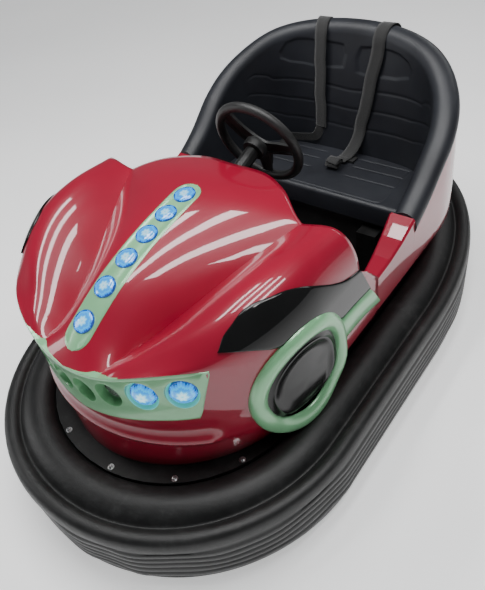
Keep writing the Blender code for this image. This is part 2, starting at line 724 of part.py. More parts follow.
def make_seat():
    shell_thick = 0.028
    low = SEAT_TOP - CUSHION_THICK - 0.02
    loops = []
    for station in tail_stations():
        normal = station_normal(station)
        top = rim_height(station)
        lip = seat_inner(station, top - RIM_ROLL)
        centre = lip + normal * RIM_ROLL
        loop = [seat_inner(station, z) for z in (low, SEAT_TOP, (SEAT_TOP + top - RIM_ROLL) / 2.0)]
        for k in range(8):
            angle = math.pi * (1.0 - k / 6.0)
            loop.append(centre + RIM_ROLL * (math.cos(angle) * normal + Vector((0, 0, math.sin(angle)))))
        neck = lip + normal * shell_thick
        neck.z = top - RIM_ROLL - 0.021
        loop.append(neck)
        middle = seat_inner(station, SEAT_TOP) + normal * shell_thick * 0.8
        loop.append(Vector((middle.x, middle.y, (SEAT_TOP + top) / 2.0 - 0.05)))
        foot = seat_inner(station, low) + normal * shell_thick * 0.8
        loop.append(foot)
        loops.append(loop)
    add_object("seat_back", loft(loops), "seat_vinyl")

    # cushion between the sides of the shell
    plan = []
    for station in tail_stations():
        point = seat_inner(station, SEAT_TOP)
        normal = station_normal(station)
        kind, _ = station
        if kind != "turn" and point.y < SEAT_FRONT:
            continue
        plan.append((point.x - normal.x * 0.0012, point.y - normal.y * 0.0012))
    edge = SEAT_HALF - 0.0012
    plan = [(edge, SEAT_FRONT)] + plan + [(-edge, SEAT_FRONT)]
    cushion_low = SEAT_TOP - CUSHION_THICK
    add_object("seat_cushion", prism_z(plan, cushion_low, SEAT_TOP), "seat_vinyl")

    floor_top = FLOOR_LOW + FLOOR_STEEL + GAP
    panel_y = SEAT_FRONT + 0.022
    half = REAR_TRACK_HALF + 0.060
    panel = box((-half, panel_y, floor_top), (half, panel_y + SKIN, cushion_low - GAP))
    add_object("seat_front_panel", panel, "matte_black")
    battery = box((-0.190, 0.380, floor_top), (0.190, 0.600, 0.330))
    add_object("battery_pack", battery, "matte_black")
    bracket_x, bracket_y = 0.235, panel_y - GAP
    plates = [
        box((bracket_x - 0.035, bracket_y - 0.055, floor_top), (bracket_x + 0.035, bracket_y - 0.049, 0.330)),
        box((bracket_x - 0.035, bracket_y - 0.052, 0.324), (bracket_x + 0.035, bracket_y, 0.330)),
    ]
    union("footwell_bracket", plates, "black_steel")


# ---------------------------------------------------------------- steering
def along_column(distance):
    """Point on the steering axis; the distance grows towards the bonnet."""
    return HUB - COLUMN_AXIS * distance


def make_steering():
    gearbox_centre = Vector((0.0, WHEEL_PIVOT_Y, HUB_Z - (HUB_Y - WHEEL_PIVOT_Y) * math.tan(COLUMN_TILT)))
    side = Vector((1.0, 0.0, 0.0))
    up = COLUMN_AXIS.cross(side) * -1.0

    loops = []
    for k in range(28):
        angle = 2.0 * math.pi * k / 28
        out = math.cos(angle) * side + math.sin(angle) * up
        centre = HUB + HANDWHEEL_RADIUS * out
        tube = []
        for j in range(6):
            turn = 2.0 * math.pi * j / 6
            tube.append(centre + HANDWHEEL_TUBE * (math.cos(turn) * out + math.sin(turn) * COLUMN_AXIS))
        loops.append(tube)
    rim = loft(loops, close_path=True)
    pieces = [rim]
    for angle in (math.radians(140.0), math.radians(40.0), math.radians(270.0)):
        out = math.cos(angle) * side + math.sin(angle) * up
        across = COLUMN_AXIS.cross(out)
        loops = []
        for reach, half in ((0.018, 0.030), (0.060, 0.018), (HANDWHEEL_RADIUS, 0.013)):
            mid = along_column(0.018 * (1.0 - reach / HANDWHEEL_RADIUS)) + reach * out
            loops.append([mid + across * a + COLUMN_AXIS * b
                          for a, b in ((-half, -0.005), (half, -0.005), (half, 0.005), (-half, 0.005))])
        pieces.append(loft(loops))
    pieces.append(cylinder(0.036, along_column(0.030), along_column(0.004), 16, 0.030))
    pieces.append(cylinder(SHAFT_RADIUS, along_column(0.110), along_column(0.028), 16))
    union("steering_wheel", pieces, "matte_black", origin=HUB)

    jacket_end = HUB.y - (WHEEL_PIVOT_Y + GEARBOX_HALF)
    jacket_length = jacket_end / math.cos(COLUMN_TILT) - 0.014
    jacket = add_object("steering_column",
                        cylinder(JACKET_RADIUS, along_column(jacket_length), along_column(0.036), 20), "black_steel")
    bore = cylinder(SHAFT_RADIUS + SHAFT_PLAY, along_column(0.125), along_column(0.0), 20)
    boolean(jacket, add_cutter("column_bore", bore))

    # post and clamp that carry the column
    post_y = -0.150
    post_z = HUB_Z - (HUB_Y - post_y) * math.tan(COLUMN_TILT)
    floor_top = FLOOR_LOW + FLOOR_STEEL + GAP
    post = box((-0.018, post_y - 0.018, floor_top), (0.018, post_y + 0.018, post_z - 0.016))
    reach = (HUB_Y - post_y) / math.cos(COLUMN_TILT)
    clamp = cylinder(JACKET_RADIUS + 0.007, along_column(reach + 0.020), along_column(reach - 0.020), 20)
    carrier = union("column_post", [post, clamp], "black_steel")
    seat_bore = cylinder(JACKET_RADIUS + GAP, along_column(reach + 0.08), along_column(reach - 0.08), 20)
    boolean(carrier, add_cutter("clamp_bore", seat_bore))
    return gearbox_centre


def make_drive_unit(gearbox_centre):
    floor_top = FLOOR_LOW + FLOOR_STEEL + GAP
    y = WHEEL_PIVOT_Y
    inner = DRIVE_WIDTH / 2.0 + RUNNING
    sweep = math.hypot(inner + CHEEK + MOTOR_LENGTH, MOTOR_RADIUS) + RUNNING
    leg = sweep + 0.004
    bridge_top = BRIDGE_LOW + 0.008

    # fixed bridge over the well, with the head tube
    bridge = [box((-leg - 0.026, y - 0.045, BRIDGE_LOW), (leg + 0.026, y + 0.045, bridge_top))]
    for side in (-1, 1):
        x_low, x_high = sorted((side * leg, side * (leg + 0.025)))
        bridge.append(box((x_low, y - 0.044, floor_top), (x_high, y + 0.044, BRIDGE_LOW + 0.004)))
    bridge.append(cylinder(0.032, (0, y, BRIDGE_LOW + 0.004), (0, y, STEM_TOP), 28))
    head = union("drive_bridge", bridge, "black_steel")
    bore = cylinder(STEM_RADIUS + SHAFT_PLAY, (0, y, BRIDGE_LOW - 0.02), (0, y, STEM_TOP + 0.02), 20)
    boolean(head, add_cutter("stem_bore", bore))

    top = gearbox_centre.z + GEARBOX_HALF
    gearbox = box((-GEARBOX_HALF, y - GEARBOX_HALF, STEM_TOP + GAP), (GEARBOX_HALF, y + GEARBOX_HALF, top))
    add_object("steering_gearbox", gearbox, "steel")

    # turning fork
    plate_top = BRIDGE_LOW - 0.005
    fork = [box((-inner - CHEEK, y - 0.045, plate_top - 0.012), (inner + CHEEK, y + 0.045, plate_top))]
    for side in (-1, 1):
        x_low, x_high = sorted((side * inner, side * (inner + CHEEK)))
        fork.append(box((x_low, y - 0.040, DRIVE_RADIUS - 0.040), (x_high, y + 0.040, plate_top - 0.006)))
    fork.append(cylinder(STEM_RADIUS, (0, y, plate_top - 0.006), (0, y, STEM_TOP - 0.005), 28))
    body = union("drive_fork", fork, "black_steel", origin=PIVOT)
    bore = cylinder(AXLE_RADIUS + SHAFT_PLAY, (-0.2, y, DRIVE_RADIUS), (0.2, y, DRIVE_RADIUS), 20)
    boolean(body, add_cutter("drive_axle_bore", bore))

    start = inner + CHEEK + GAP
    motor = cylinder(MOTOR_RADIUS, (start, y, DRIVE_RADIUS), (start + MOTOR_LENGTH - GAP, y, DRIVE_RADIUS), 24)
    add_object("drive_motor", motor, "steel", origin=PIVOT)
    axle_end = inner + CHEEK - 0.001
    make_wheel("drive_wheel", 0.0, y, DRIVE_RADIUS, DRIVE_WIDTH, axle_end)


def make_wheel(name, x, y, radius, width, axle_half):
    """Rubber wheel with its axle stubs, turned about X; the tread's lowest edge lies on the ground."""
    profile = (
        (-axle_half, AXLE_RADIUS), (-width / 2.0, AXLE_RADIUS), (-width / 2.0, radius - 0.006),
        (-width * 0.4, radius), (width * 0.4, radius), (width / 2.0, radius - 0.006),
        (width / 2.0, AXLE_RADIUS), (axle_half, AXLE_RADIUS),
    )
    segments = 24
    loops = []
    for offset, reach in profile:
        angles = [2.0 * math.pi * k / segments for k in range(segments)]
        loops.append([Vector((x + offset, y + reach * math.sin(a), radius - reach * math.cos(a))) for a in angles])
    add_object(name, loft(loops), "rubber", origin=Vector((x, y, radius)))


def make_rear_wheels():
    y = REAR_AXLE_Y
    inner = REAR_WIDTH / 2.0 + RUNNING
    outer = inner + CHEEK
    top = 2.0 * REAR_RADIUS + RUNNING
    for side, label in ((-1, "right"), (1, "left")):
        x = side * REAR_TRACK_HALF
        pieces = [box((x - outer, y - 0.045, top), (x + outer, y + 0.045, top + CHEEK))]
        for cheek in (-1, 1):
            x_low, x_high = sorted((x + cheek * inner, x + cheek * outer))
            pieces.append(box((x_low, y - 0.044, REAR_RADIUS - 0.030), (x_high, y + 0.044, top + CHEEK / 2.0)))
        bracket = union(f"rear_bracket_{label}", pieces, "black_steel")
        bore = cylinder(AXLE_RADIUS + SHAFT_PLAY, (x - 0.1, y, REAR_RADIUS), (x + 0.1, y, REAR_RADIUS), 20)
        boolean(bracket, add_cutter(f"rear_bore_{label}", bore))
        make_wheel(f"rear_wheel_{label}", x, y, REAR_RADIUS, REAR_WIDTH, outer - 0.001)


# ---------------------------------------------------------------- pedal and belts
def make_pedal():
    floor_top = FLOOR_LOW + FLOOR_STEEL + GAP
    x, y = -0.110, -0.160
    tilt = Matrix.Rotation(math.radians(-35.0), 4, "X")
    plate = box((-0.035, -0.060, 0.0), (0.035, 0.060, 0.008))
    bmesh.ops.transform(plate, matrix=Matrix.Translation((x, y, floor_top + 0.070)) @ tilt, verts=plate.verts)
    stand = box((x - 0.012, y - 0.012, floor_top), (x + 0.012, y + 0.012, floor_top + 0.070))
    union("accelerator_pedal", [plate, stand], "black_steel")


def back_between(x, place):
    """A point of the seat shell at a given x, read straight between its two nearest stations."""
    stations = [s for s in tail_stations() if s[0] == "turn"]
    spots = [place(station) for station in stations]
    for k in range(len(spots) - 1):
        if spots[k + 1].x <= x <= spots[k].x:
            share = (spots[k].x - x) / (spots[k].x - spots[k + 1].x)
            normal = station_normal(stations[k]).lerp(station_normal(stations[k + 1]), share).normalized()
            return spots[k].lerp(spots[k + 1], share), normal
    return spots[0], station_normal(stations[0])


def belt_path(x_top, x_low, low_z, clear=0.0070):
    """Webbing line down the seat's inner back, from behind the rolled edge."""
    def roll_centre(station):
        lip = seat_inner(station, rim_height(station) - RIM_ROLL)
        return lip + station_normal(station) * RIM_ROLL

    centre, normal = back_between(x_top, roll_centre)
    points = []
    for angle in (10.0, 35.0, 60.0, 85.0, 110.0, 140.0, 168.0):
        turn = math.radians(angle)
        out = math.cos(turn) * normal + Vector((0.0, 0.0, math.sin(turn)))
        points.append(centre + (RIM_ROLL + clear) * out)
    start = centre.z
    for k in range(1, 7):
        share = k / 6.0
        z = start + (low_z - start) * share
        spot, normal = back_between(x_top + (x_low - x_top) * share, lambda s, z=z: seat_inner(s, z))
        points.append(spot - normal * clear)
    return points


def webbing(name, points, across):
    """Flat band along a line; across is its width direction."""
    across = Vector(across).normalized()
    loops = []
    for k, point in enumerate(points):
        ahead = points[min(k + 1, len(points) - 1)] - points[max(k - 1, 0)]
        thin = ahead.cross(across).normalized()
        wide = thin.cross(ahead).normalized()
        half_w, half_t = WEB_WIDTH / 2.0, WEB_THICK / 2.0
        loops.append([point + wide * a + thin * b
                      for a, b in ((-half_w, -half_t), (half_w, -half_t), (half_w, half_t), (-half_w, half_t))])
    add_object(name, loft(loops), "webbing")


def make_belts():
    right = belt_path(-0.117, -0.112, SEAT_TOP + 0.060)
    webbing("belt_right", right, (1, 0, 0))
    left = belt_path(0.108, 0.045, SEAT_TOP + 0.060)
    webbing("belt_left", left, (1, 0, 0))
    x, y = 0.015, 0.455
    roll = prism_x([(y + 0.022 * math.cos(a) * 1.5, SEAT_TOP + GAP + 0.020 + 0.020 * math.sin(a))
                    for a in [2.0 * math.pi * k / 20 for k in range(20)]], x - WEB_WIDTH / 2.0, x + WEB_WIDTH / 2.0)
    add_object("belt_roll", roll, "webbing")
    slider = box((x - 0.010, 0.505, SEAT_TOP + GAP), (x + 0.046, 0.540, SEAT_TOP + 0.008))
    add_object("belt_slider", slider, "matte_black")
    clip = box((-0.265, 0.500, SEAT_TOP + GAP), (-0.205, 0.532, SEAT_TOP + 0.014))
    add_object("belt_clip", clip, "matte_black")


def main():
    clear_scene()
    make_tyre_and_floor()
    points, faces = make_front_body()
    make_side_trim(points, faces)
    make_rear_body()
    make_sills()
    make_seat()
    gearbox_centre = make_steering()
    make_drive_unit(gearbox_centre)
    make_rear_wheels()
    make_pedal()
    make_belts()


main()
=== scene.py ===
import math

import bmesh
import bpy
import numpy as np
from bpy.props import FloatProperty, FloatVectorProperty, IntProperty, PointerProperty
from mathutils import Matrix, Vector


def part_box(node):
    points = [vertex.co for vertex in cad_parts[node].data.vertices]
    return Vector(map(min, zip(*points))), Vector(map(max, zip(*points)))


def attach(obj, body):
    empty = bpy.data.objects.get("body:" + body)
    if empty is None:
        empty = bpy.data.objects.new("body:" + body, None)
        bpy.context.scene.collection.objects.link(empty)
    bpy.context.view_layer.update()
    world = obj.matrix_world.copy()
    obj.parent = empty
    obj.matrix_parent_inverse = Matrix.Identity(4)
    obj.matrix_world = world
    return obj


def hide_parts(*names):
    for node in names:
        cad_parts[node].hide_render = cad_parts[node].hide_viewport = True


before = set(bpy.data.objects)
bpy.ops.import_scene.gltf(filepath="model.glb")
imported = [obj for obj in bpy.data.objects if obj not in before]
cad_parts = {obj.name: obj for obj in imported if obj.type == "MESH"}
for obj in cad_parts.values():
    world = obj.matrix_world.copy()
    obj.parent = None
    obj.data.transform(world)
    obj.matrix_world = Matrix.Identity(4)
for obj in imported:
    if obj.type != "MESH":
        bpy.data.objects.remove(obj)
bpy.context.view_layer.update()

bl_info = {
    "name": "Fairground Bumper Car",
    "version": (1, 0, 0),
    "blender": (4, 5, 0),
    "location": "View3D > Sidebar > Bumper Car",
    "description": "Finishes a fairground bumper car on its packed frame",
    "category": "Add Mesh",
}

TYRE_LOW, TYRE_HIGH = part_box("bumper_tyre")
CUSHION_LOW, CUSHION_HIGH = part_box("seat_cushion")

TYRE_NOSE_ROUND, TYRE_TAIL_ROUND = 0.569, 0.850  # lengths of the tyre's front and rear half-ellipses
BODY_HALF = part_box("front_body")[1][0]
NOSE_CENTRE = -0.320
NOSE_ROUND = 0.424
TAIL_CENTRE = 0.340
COWL_CORNER = -0.050
SILL_FRONT_TOP = 0.500
SILL_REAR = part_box("seat_back")[0][1]
RIM_ROLL = 0.038
RIM_PLAN = 0.420, 0.318  # half width and tail length of the rolled edge in plan
SEAT_TOP = CUSHION_HIGH[2]
FLANGE_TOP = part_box("tyre_rim")[1][2]
ARCH_Y, ARCH_Z = -0.391, 0.448
FLANGE_CLEAR = 0.2468  # underside of the shells, just over the rim's flange
HANDWHEEL_RADIUS, HANDWHEEL_GRIP = 0.133, 0.0142
COLUMN_TILT = math.radians(17.0)
HUB = Vector((0.0, 0.078, 0.730))
COLUMN_AXIS = Vector((0.0, math.cos(COLUMN_TILT), math.sin(COLUMN_TILT)))

# bonnet sections: station, dome height, groove place and height, crest place and height, side edge height
SECTIONS = np.array((
    (-0.030, 0.728, 0.345, 0.700, 0.395, 0.704, 0.600),
    (-0.170, 0.755, 0.300, 0.703, 0.385, 0.722, 0.600),
    (-0.320, 0.744, 0.238, 0.668, 0.375, 0.735, 0.600),
    (-0.450, 0.720, 0.186, 0.627, 0.350, 0.722, 0.602),
    (-0.560, 0.688, 0.142, 0.594, 0.300, 0.682, 0.612),
    (-0.650, 0.645, 0.115, 0.588, 0.215, 0.638, 0.630),
    (-0.700, 0.615, 0.107, 0.590, 0.165, 0.616, 0.620),
    (-0.744, 0.583, 0.100, 0.583, 0.130, 0.583, 0.583),
))[::-1]
# wall below the bonnet: level, half width, nose round
WALL_LEVELS = np.array((
    (FLANGE_CLEAR, 0.400, 0.437), (0.310, 0.427, 0.432), (0.375, 0.455, 0.424), (0.455, 0.455, 0.424),
    (0.650, 0.455, 0.424),
))
TAIL_LEVELS = np.array((
    (FLANGE_CLEAR, 0.370, 0.400), (0.375, 0.455, 0.420), (0.550, 0.455, 0.412), (0.700, 0.452, 0.390),
    (0.850, 0.445, 0.350),
))
RIM_HEIGHTS = np.array((
    (0.165, 0.555), (0.250, 0.605), (0.320, 0.660), (0.400, 0.722), (0.500, 0.787), (0.580, 0.836),
    (0.660, 0.868),
))
COWL_LINE = np.array(((0.0, -0.045), (0.12, -0.045), (0.20, -0.085), (0.30, -0.160), (0.38, -0.160),
                      (0.455, -0.150)))
BAR_LAMPS = (
    # name, distance from the middle, height, radius, lit
    ("middle", 0.040, 0.512, 0.034, False), ("side", 0.122, 0.532, 0.035, False),
    ("inner", 0.209, 0.550, 0.040, True), ("outer", 0.291, 0.556, 0.040, True),
)
BONNET_LAMP_Y = (-0.246, -0.322, -0.398, -0.477, -0.561, -0.648)


# ---------------------------------------------------------------- settings a user would change
class BumperCarSettings(bpy.types.PropertyGroup):
    """Sizes and colours of the car's finish."""

    shell_red: FloatVectorProperty(
        name="Shell Red", description="Colour of the gloss moulded body", subtype="COLOR", size=3,
        default=(0.34, 0.006, 0.030), min=0.0, max=1.0)
    trim_green: FloatVectorProperty(
        name="Trim Green", description="Colour of the light strip, light bar and side rings",
        subtype="COLOR", size=3, default=(0.25, 0.58, 0.30), min=0.0, max=1.0)
    lamp_blue: FloatVectorProperty(
        name="Lamp Blue", description="Colour of a lit lens away from its middle", subtype="COLOR", size=3,
        default=(0.0, 0.30, 1.0), min=0.0, max=1.0)
    lamp_power: FloatProperty(
        name="Lamp Power", description="Brightness of the lit lamps", default=1.3, min=0.0, max=50.0)
    shell_detail: IntProperty(
        name="Shell Detail", description="Grid columns from the bonnet's middle to its side", default=36,
        min=8, max=80)
    webbing_width: FloatProperty(
        name="Webbing Width", description="Width of the shoulder belts", unit="LENGTH", default=0.045,
        min=0.02, max=0.08)


# ---------------------------------------------------------------- materials
class Finish:
    """A new material and short ways to add nodes to it."""

    def __init__(self, name):
        self.material = bpy.data.materials.new(name)
        self.material.use_nodes = True
        self.nodes = self.material.node_tree.nodes
        self.links = self.material.node_tree.links
        self.shader = self.nodes["Principled BSDF"]
        self.place = self.nodes.new("ShaderNodeTexCoord").outputs["Object"]

    def set(self, **values):
        for name, value in values.items():
            self.shader.inputs[name.replace("_", " ")].default_value = value

    def add(self, kind, inputs=(), **settings):
        node = self.nodes.new(kind)
        for name, value in settings.items():
            setattr(node, name, value)
        for name, value in dict(inputs).items():
            if isinstance(value, bpy.types.NodeSocket):
                self.links.new(value, node.inputs[name])
            else:
                node.inputs[name].default_value = value
        return node

    def noise(self, scale, detail=4.0, roughness=0.55, vector=None):
        return self.add("ShaderNodeTexNoise", {
            "Vector": vector or self.place, "Scale": scale, "Detail": detail,
            "Roughness": roughness}).outputs["Fac"]

    def ramp(self, value, stops):
        node = self.add("ShaderNodeValToRGB", {"Fac": value})
        elements = node.color_ramp.elements
        while len(elements) < len(stops):
            elements.new(0.5)
        for element, (position, colour) in zip(elements, stops):
            element.position = position
            element.color = (*colour, 1.0) if len(colour) == 3 else colour
        return node.outputs["Color"]

    def colour(self, socket):
        self.links.new(socket, self.shader.inputs["Base Color"])

    def roughness(self, value, low, high):
        node = self.add("ShaderNodeMapRange", {"Value": value, "To Min": low, "To Max": high})
        self.links.new(node.outputs["Result"], self.shader.inputs["Roughness"])

    def bump(self, height, strength, distance, normal=None):
        inputs = {"Height": height, "Strength": strength, "Distance": distance}
        if normal is not None:
            inputs["Normal"] = normal
        node = self.add("ShaderNodeBump", inputs)
        self.links.new(node.outputs["Normal"], self.shader.inputs["Normal"])
        return node.outputs["Normal"]


def grey(value):
    return (value, value, value)


def shell_red_finish(settings):
    finish = Finish("shell_red")
    red = settings.shell_red
    deep = tuple(c * 0.8 for c in red)
    finish.colour(finish.ramp(finish.noise(3.0), ((0.3, deep), (0.7, tuple(red)))))
    finish.set(Roughness=0.30, Specular_IOR_Level=0.25, Coat_Weight=0.9, Coat_Roughness=0.02)
    ripple = finish.noise(7.0, 2.0)
    finish.bump(ripple, 0.12, 0.004)
    return finish.material


def trim_green_finish(settings):
    finish = Finish("trim_green")
    green = settings.trim_green
    finish.colour(finish.ramp(finish.noise(9.0), ((0.3, tuple(c * 0.86 for c in green)),
                                                  (0.7, tuple(green)))))
    finish.set(Roughness=0.28, Metallic=0.15, Coat_Weight=0.5, Coat_Roughness=0.08)
    finish.bump(finish.noise(400.0, 2.0), 0.05, 0.0004)
    return finish.material


def plain_finish(name, noise, stops, bumps, roughness=None, **values):
    """A colour ramp over one noise, a fine bump, and roughness over the same noise if a range is given."""
    finish = Finish(name)
    wear = finish.noise(*noise)
    finish.colour(finish.ramp(wear, [(at, grey(tone) if isinstance(tone, float) else tone) for at,
                                     tone in stops]))
    finish.set(**values)
    if roughness:
        finish.roughness(wear, *roughness)
    if bumps:
        (scale, detail), strength, distance = bumps
        finish.bump(finish.noise(scale, detail), strength, distance)
    return finish.material


PLAIN_FINISHES = {
    # name, noise, colour stops, bump: noise, strength and distance
    "gloss": ("gloss_black", (5.0,), ((0.3, 0.004), (0.7, 0.009)), ((8.0, 2.0), 0.08, 0.003)),
    "matte": ("moulded_black", (14.0, 6.0, 0.7), ((0.35, 0.011), (0.7, 0.026)),
              ((900.0, 2.0), 0.25, 0.0003)),
    "painted": ("painted_steel", (30.0, 8.0, 0.7), ((0.45, 0.010), (0.66, 0.018),
                                                    (0.78, (0.08, 0.075, 0.07))),
                ((160.0, 3.0), 0.2, 0.0006)),
    "bright": ("bright_steel", (60.0, 6.0), ((0.3, 0.35), (0.7, 0.6)), None),
    "wheel": ("wheel_rubber", (40.0, 6.0), ((0.3, 0.02), (0.75, 0.06)), ((300.0, 4.0), 0.4, 0.001)),
    "disc": ("ring_disc", (12.0,), ((0.3, 0.003), (0.75, 0.008)), ((90.0, 3.0), 0.08, 0.0008)),
}
PLAIN_VALUES = {
    "gloss": {"Roughness": 0.07, "Specular_IOR_Level": 0.4},
    "matte": {"roughness": (0.34, 0.6)},
    "painted": {"roughness": (0.25, 0.55), "Metallic": 0.4},
    "bright": {"roughness": (0.18, 0.4), "Metallic": 1.0},
    "wheel": {"Roughness": 0.75},
    "disc": {"Roughness": 0.22, "Specular_IOR_Level": 0.35},
}


def tyre_rubber_finish():
    finish = Finish("tyre_rubber")
    patch = finish.noise(4.5, 8.0, 0.65)
    streak = finish.noise(38.0, 6.0, 0.7)
    scuff = finish.add("ShaderNodeMath", {0: patch, 1: streak}, operation="MULTIPLY").outputs[0]
    finish.colour(finish.ramp(scuff, ((0.16, grey(0.007)), (0.30, grey(0.013)), (0.42, grey(0.030)),
                                      (0.54, (0.085, 0.083, 0.080)))))
    finish.roughness(scuff, 0.36, 0.85)
    first = finish.bump(finish.noise(55.0, 8.0, 0.7), 0.35, 0.003)
    finish.bump(finish.noise(700.0, 3.0), 0.25, 0.0005, first)
    return finish.material


def seat_skin_finish():
    finish = Finish("seat_skin")
    shade = finish.noise(6.0, 4.0)
    finish.colour(finish.ramp(shade, ((0.3, (0.011, 0.012, 0.016)), (0.7, (0.019, 0.021, 0.027)))))
    finish.roughness(shade, 0.40, 0.52)
    grain = finish.add("ShaderNodeTexVoronoi", {"Vector": finish.place, "Scale": 420.0}).outputs["Distance"]
    first = finish.bump(grain, 0.35, 0.0006)
    finish.bump(finish.noise(60.0, 3.0), 0.06, 0.001, first)
    return finish.material


def webbing_finish():
    finish = Finish("belt_webbing")
    lengthwise = finish.add("ShaderNodeTexWave", {"Vector": finish.place, "Scale": 220.0, "Distortion": 0.4},
                            bands_direction="X")
    across = finish.add("ShaderNodeTexWave", {"Vector": finish.place, "Scale": 260.0, "Distortion": 0.4},
                        bands_direction="Z")
    weave = finish.add("ShaderNodeMath", {0: lengthwise.outputs["Fac"], 1: across.outputs["Fac"]},
                       operation="MULTIPLY").outputs[0]
    finish.colour(finish.ramp(weave, ((0.0, grey(0.006)), (1.0, grey(0.026)))))
    finish.set(Roughness=0.75, Sheen_Weight=0.4)
    finish.bump(weave, 0.6, 0.0006)
    return finish.material


def lamp_finish(settings, strength):
    """Lit lens: a pale star in the middle, rays further out and a deep blue edge."""
    finish = Finish("lit_lens")
    place = finish.add("ShaderNodeAttribute", attribute_name="lens_place").outputs["Vector"]
    reach = finish.add("ShaderNodeVectorMath", {0: place}, operation="LENGTH").outputs["Value"]
    parts = finish.add("ShaderNodeSeparateXYZ", {"Vector": place}).outputs
    angle = finish.add("ShaderNodeMath", {0: parts["Y"], 1: parts["X"]}, operation="ARCTAN2").outputs[0]

    def waves(count):
        turned_on = finish.add("ShaderNodeMath", {0: angle, 1: float(count)},
                               operation="MULTIPLY").outputs[0]
        return finish.add("ShaderNodeMath", {0: turned_on}, operation="SINE").outputs[0]

    star = finish.add("ShaderNodeMath", {0: waves(7), 1: 0.05, 2: reach},
                      operation="MULTIPLY_ADD").outputs[0]
    rays = finish.add("ShaderNodeMath", {0: waves(26), 1: 0.035, 2: star},
                      operation="MULTIPLY_ADD").outputs[0]
    blue = tuple(settings.lamp_blue)
    glow = finish.ramp(rays, (
        (0.05, (0.10, 0.75, 0.85)), (0.13, (0.75, 1.0, 1.0)), (0.30, (0.35, 0.90, 1.0)),
        (0.44, (0.01, 0.42, 0.90)),
        (0.60, (0.01, 0.26, 0.80)), (0.70, (0.02, 0.55, 1.0)), (0.84, blue), (0.95, (0.0, 0.02, 0.16))))
    finish.links.new(glow, finish.shader.inputs["Emission Color"])
    finish.shader.inputs["Emission Strength"].default_value = strength
    finish.shader.inputs["Base Color"].default_value = (0.005, 0.05, 0.25, 1.0)
    finish.set(Roughness=0.08, Coat_Weight=1.0)
    facets = finish.add("ShaderNodeTexVoronoi", {"Vector": finish.place, "Scale": 150.0}).outputs["Distance"]
    finish.bump(facets, 0.4, 0.001)
    return finish.material


def cup_painted_light_finish():
    """Cup lining with painted lamplight: it glows cyan low down and green at its side, where the lens's
    light falls on it.
    """
    finish = Finish("cup_painted_light")
    parts = finish.add("ShaderNodeSeparateXYZ", {"Vector": finish.place}).outputs
    patch = finish.noise(30.0, 2.0)
    shade = finish.add("ShaderNodeMath", {0: parts["Z"], 1: 2.0, 2: patch},
                       operation="MULTIPLY_ADD").outputs[0]
    glow = finish.ramp(shade, ((0.40, (0.0, 0.75, 0.95)), (0.62, (0.0, 0.80, 0.60)),
                               (0.85, (0.05, 0.40, 0.35))))
    # painted lamplight: the lining is no lamp, and its emission stands in for the lit lens's light on it
    finish.links.new(glow, finish.shader.inputs["Emission Color"])
    finish.shader.inputs["Emission Strength"].default_value = 0.8
    finish.shader.inputs["Base Color"].default_value = (0.2, 0.5, 0.4, 1.0)
    finish.set(Roughness=0.2)
    return finish.material


def speckle_finish():
    finish = Finish("cup_speckle")
    spots = finish.add("ShaderNodeTexVoronoi", {"Vector": finish.place, "Scale": 420.0}).outputs["Distance"]
    finish.colour(finish.ramp(spots, ((0.20, grey(0.02)), (0.45, (0.12, 0.17, 0.13)))))
    finish.set(Roughness=0.4)
    finish.bump(spots, 0.4, 0.0006)
    return finish.material


def make_finishes(settings):
    finishes = {key: plain_finish(*row, **PLAIN_VALUES[key]) for key, row in PLAIN_FINISHES.items()}
    finishes.update({
        "red": shell_red_finish(settings), "green": trim_green_finish(settings),
        "tyre": tyre_rubber_finish(),
        "seat": seat_skin_finish(), "webbing": webbing_finish(),
        "lens": lamp_finish(settings, settings.lamp_power),
        # glow is painted lamplight on the cup linings, not a lamp
        "glow": cup_painted_light_finish(), "speckle": speckle_finish(),
    })
    return finishes


# ---------------------------------------------------------------- shape helpers
def smooth_read(table, at, column):
    """Cubic reading of a table whose first column rises."""
    xs, ys = table[:, 0], table[:, column]
    slopes = np.gradient(ys, xs)
    at = np.clip(at, xs[0], xs[-1])
    k = np.clip(np.searchsorted(xs, at) - 1, 0, len(xs) - 2)
    width = xs[k + 1] - xs[k]
    t = (at - xs[k]) / width
    a = (2 * t**3 - 3 * t**2 + 1) * ys[k] + (t**3 - 2 * t**2 + t) * width * slopes[k]
    b = (-2 * t**3 + 3 * t**2) * ys[k + 1] + (t**3 - t**2) * width * slopes[k + 1]
    return a + b


def nose_half(y):
    t = np.clip((NOSE_CENTRE - y) / NOSE_ROUND, 0.0, 1.0)
    return BODY_HALF * np.sqrt(1.0 - t * t)


def bonnet_height(x, y):
    """Height of the bonnet: a middle dome, two grooves and two wing crests."""
    dome, groove_x, groove_z, crest_x, crest_z, edge_z = (smooth_read(SECTIONS, y, c) for c in range(1, 7))
    x = np.abs(x)
    edge_x = np.maximum(nose_half(y), crest_x + 0.001)
    inner = np.clip(x / groove_x, 0.0, 1.0)
    middle = np.clip((x - groove_x) / (crest_x - groove_x), 0.0, 1.0)
    outer = np.clip((x - crest_x) / (edge_x - crest_x), 0.0, 1.0)
    on_dome = groove_z + (dome - groove_z) * (1.0 - inner**2) ** 0.9
    on_wing = groove_z + (crest_z - groove_z) * np.sin(0.5 * np.pi * middle)
    on_side = edge_z + (crest_z - edge_z) * np.sqrt(1.0 - outer**2)
    return np.where(x <= groove_x, on_dome, np.where(x <= crest_x, on_wing, on_side))


def wall_rear(z):
    return COWL_CORNER - 0.9 * np.maximum(0.0, np.minimum(z, 0.611) - SILL_FRONT_TOP)


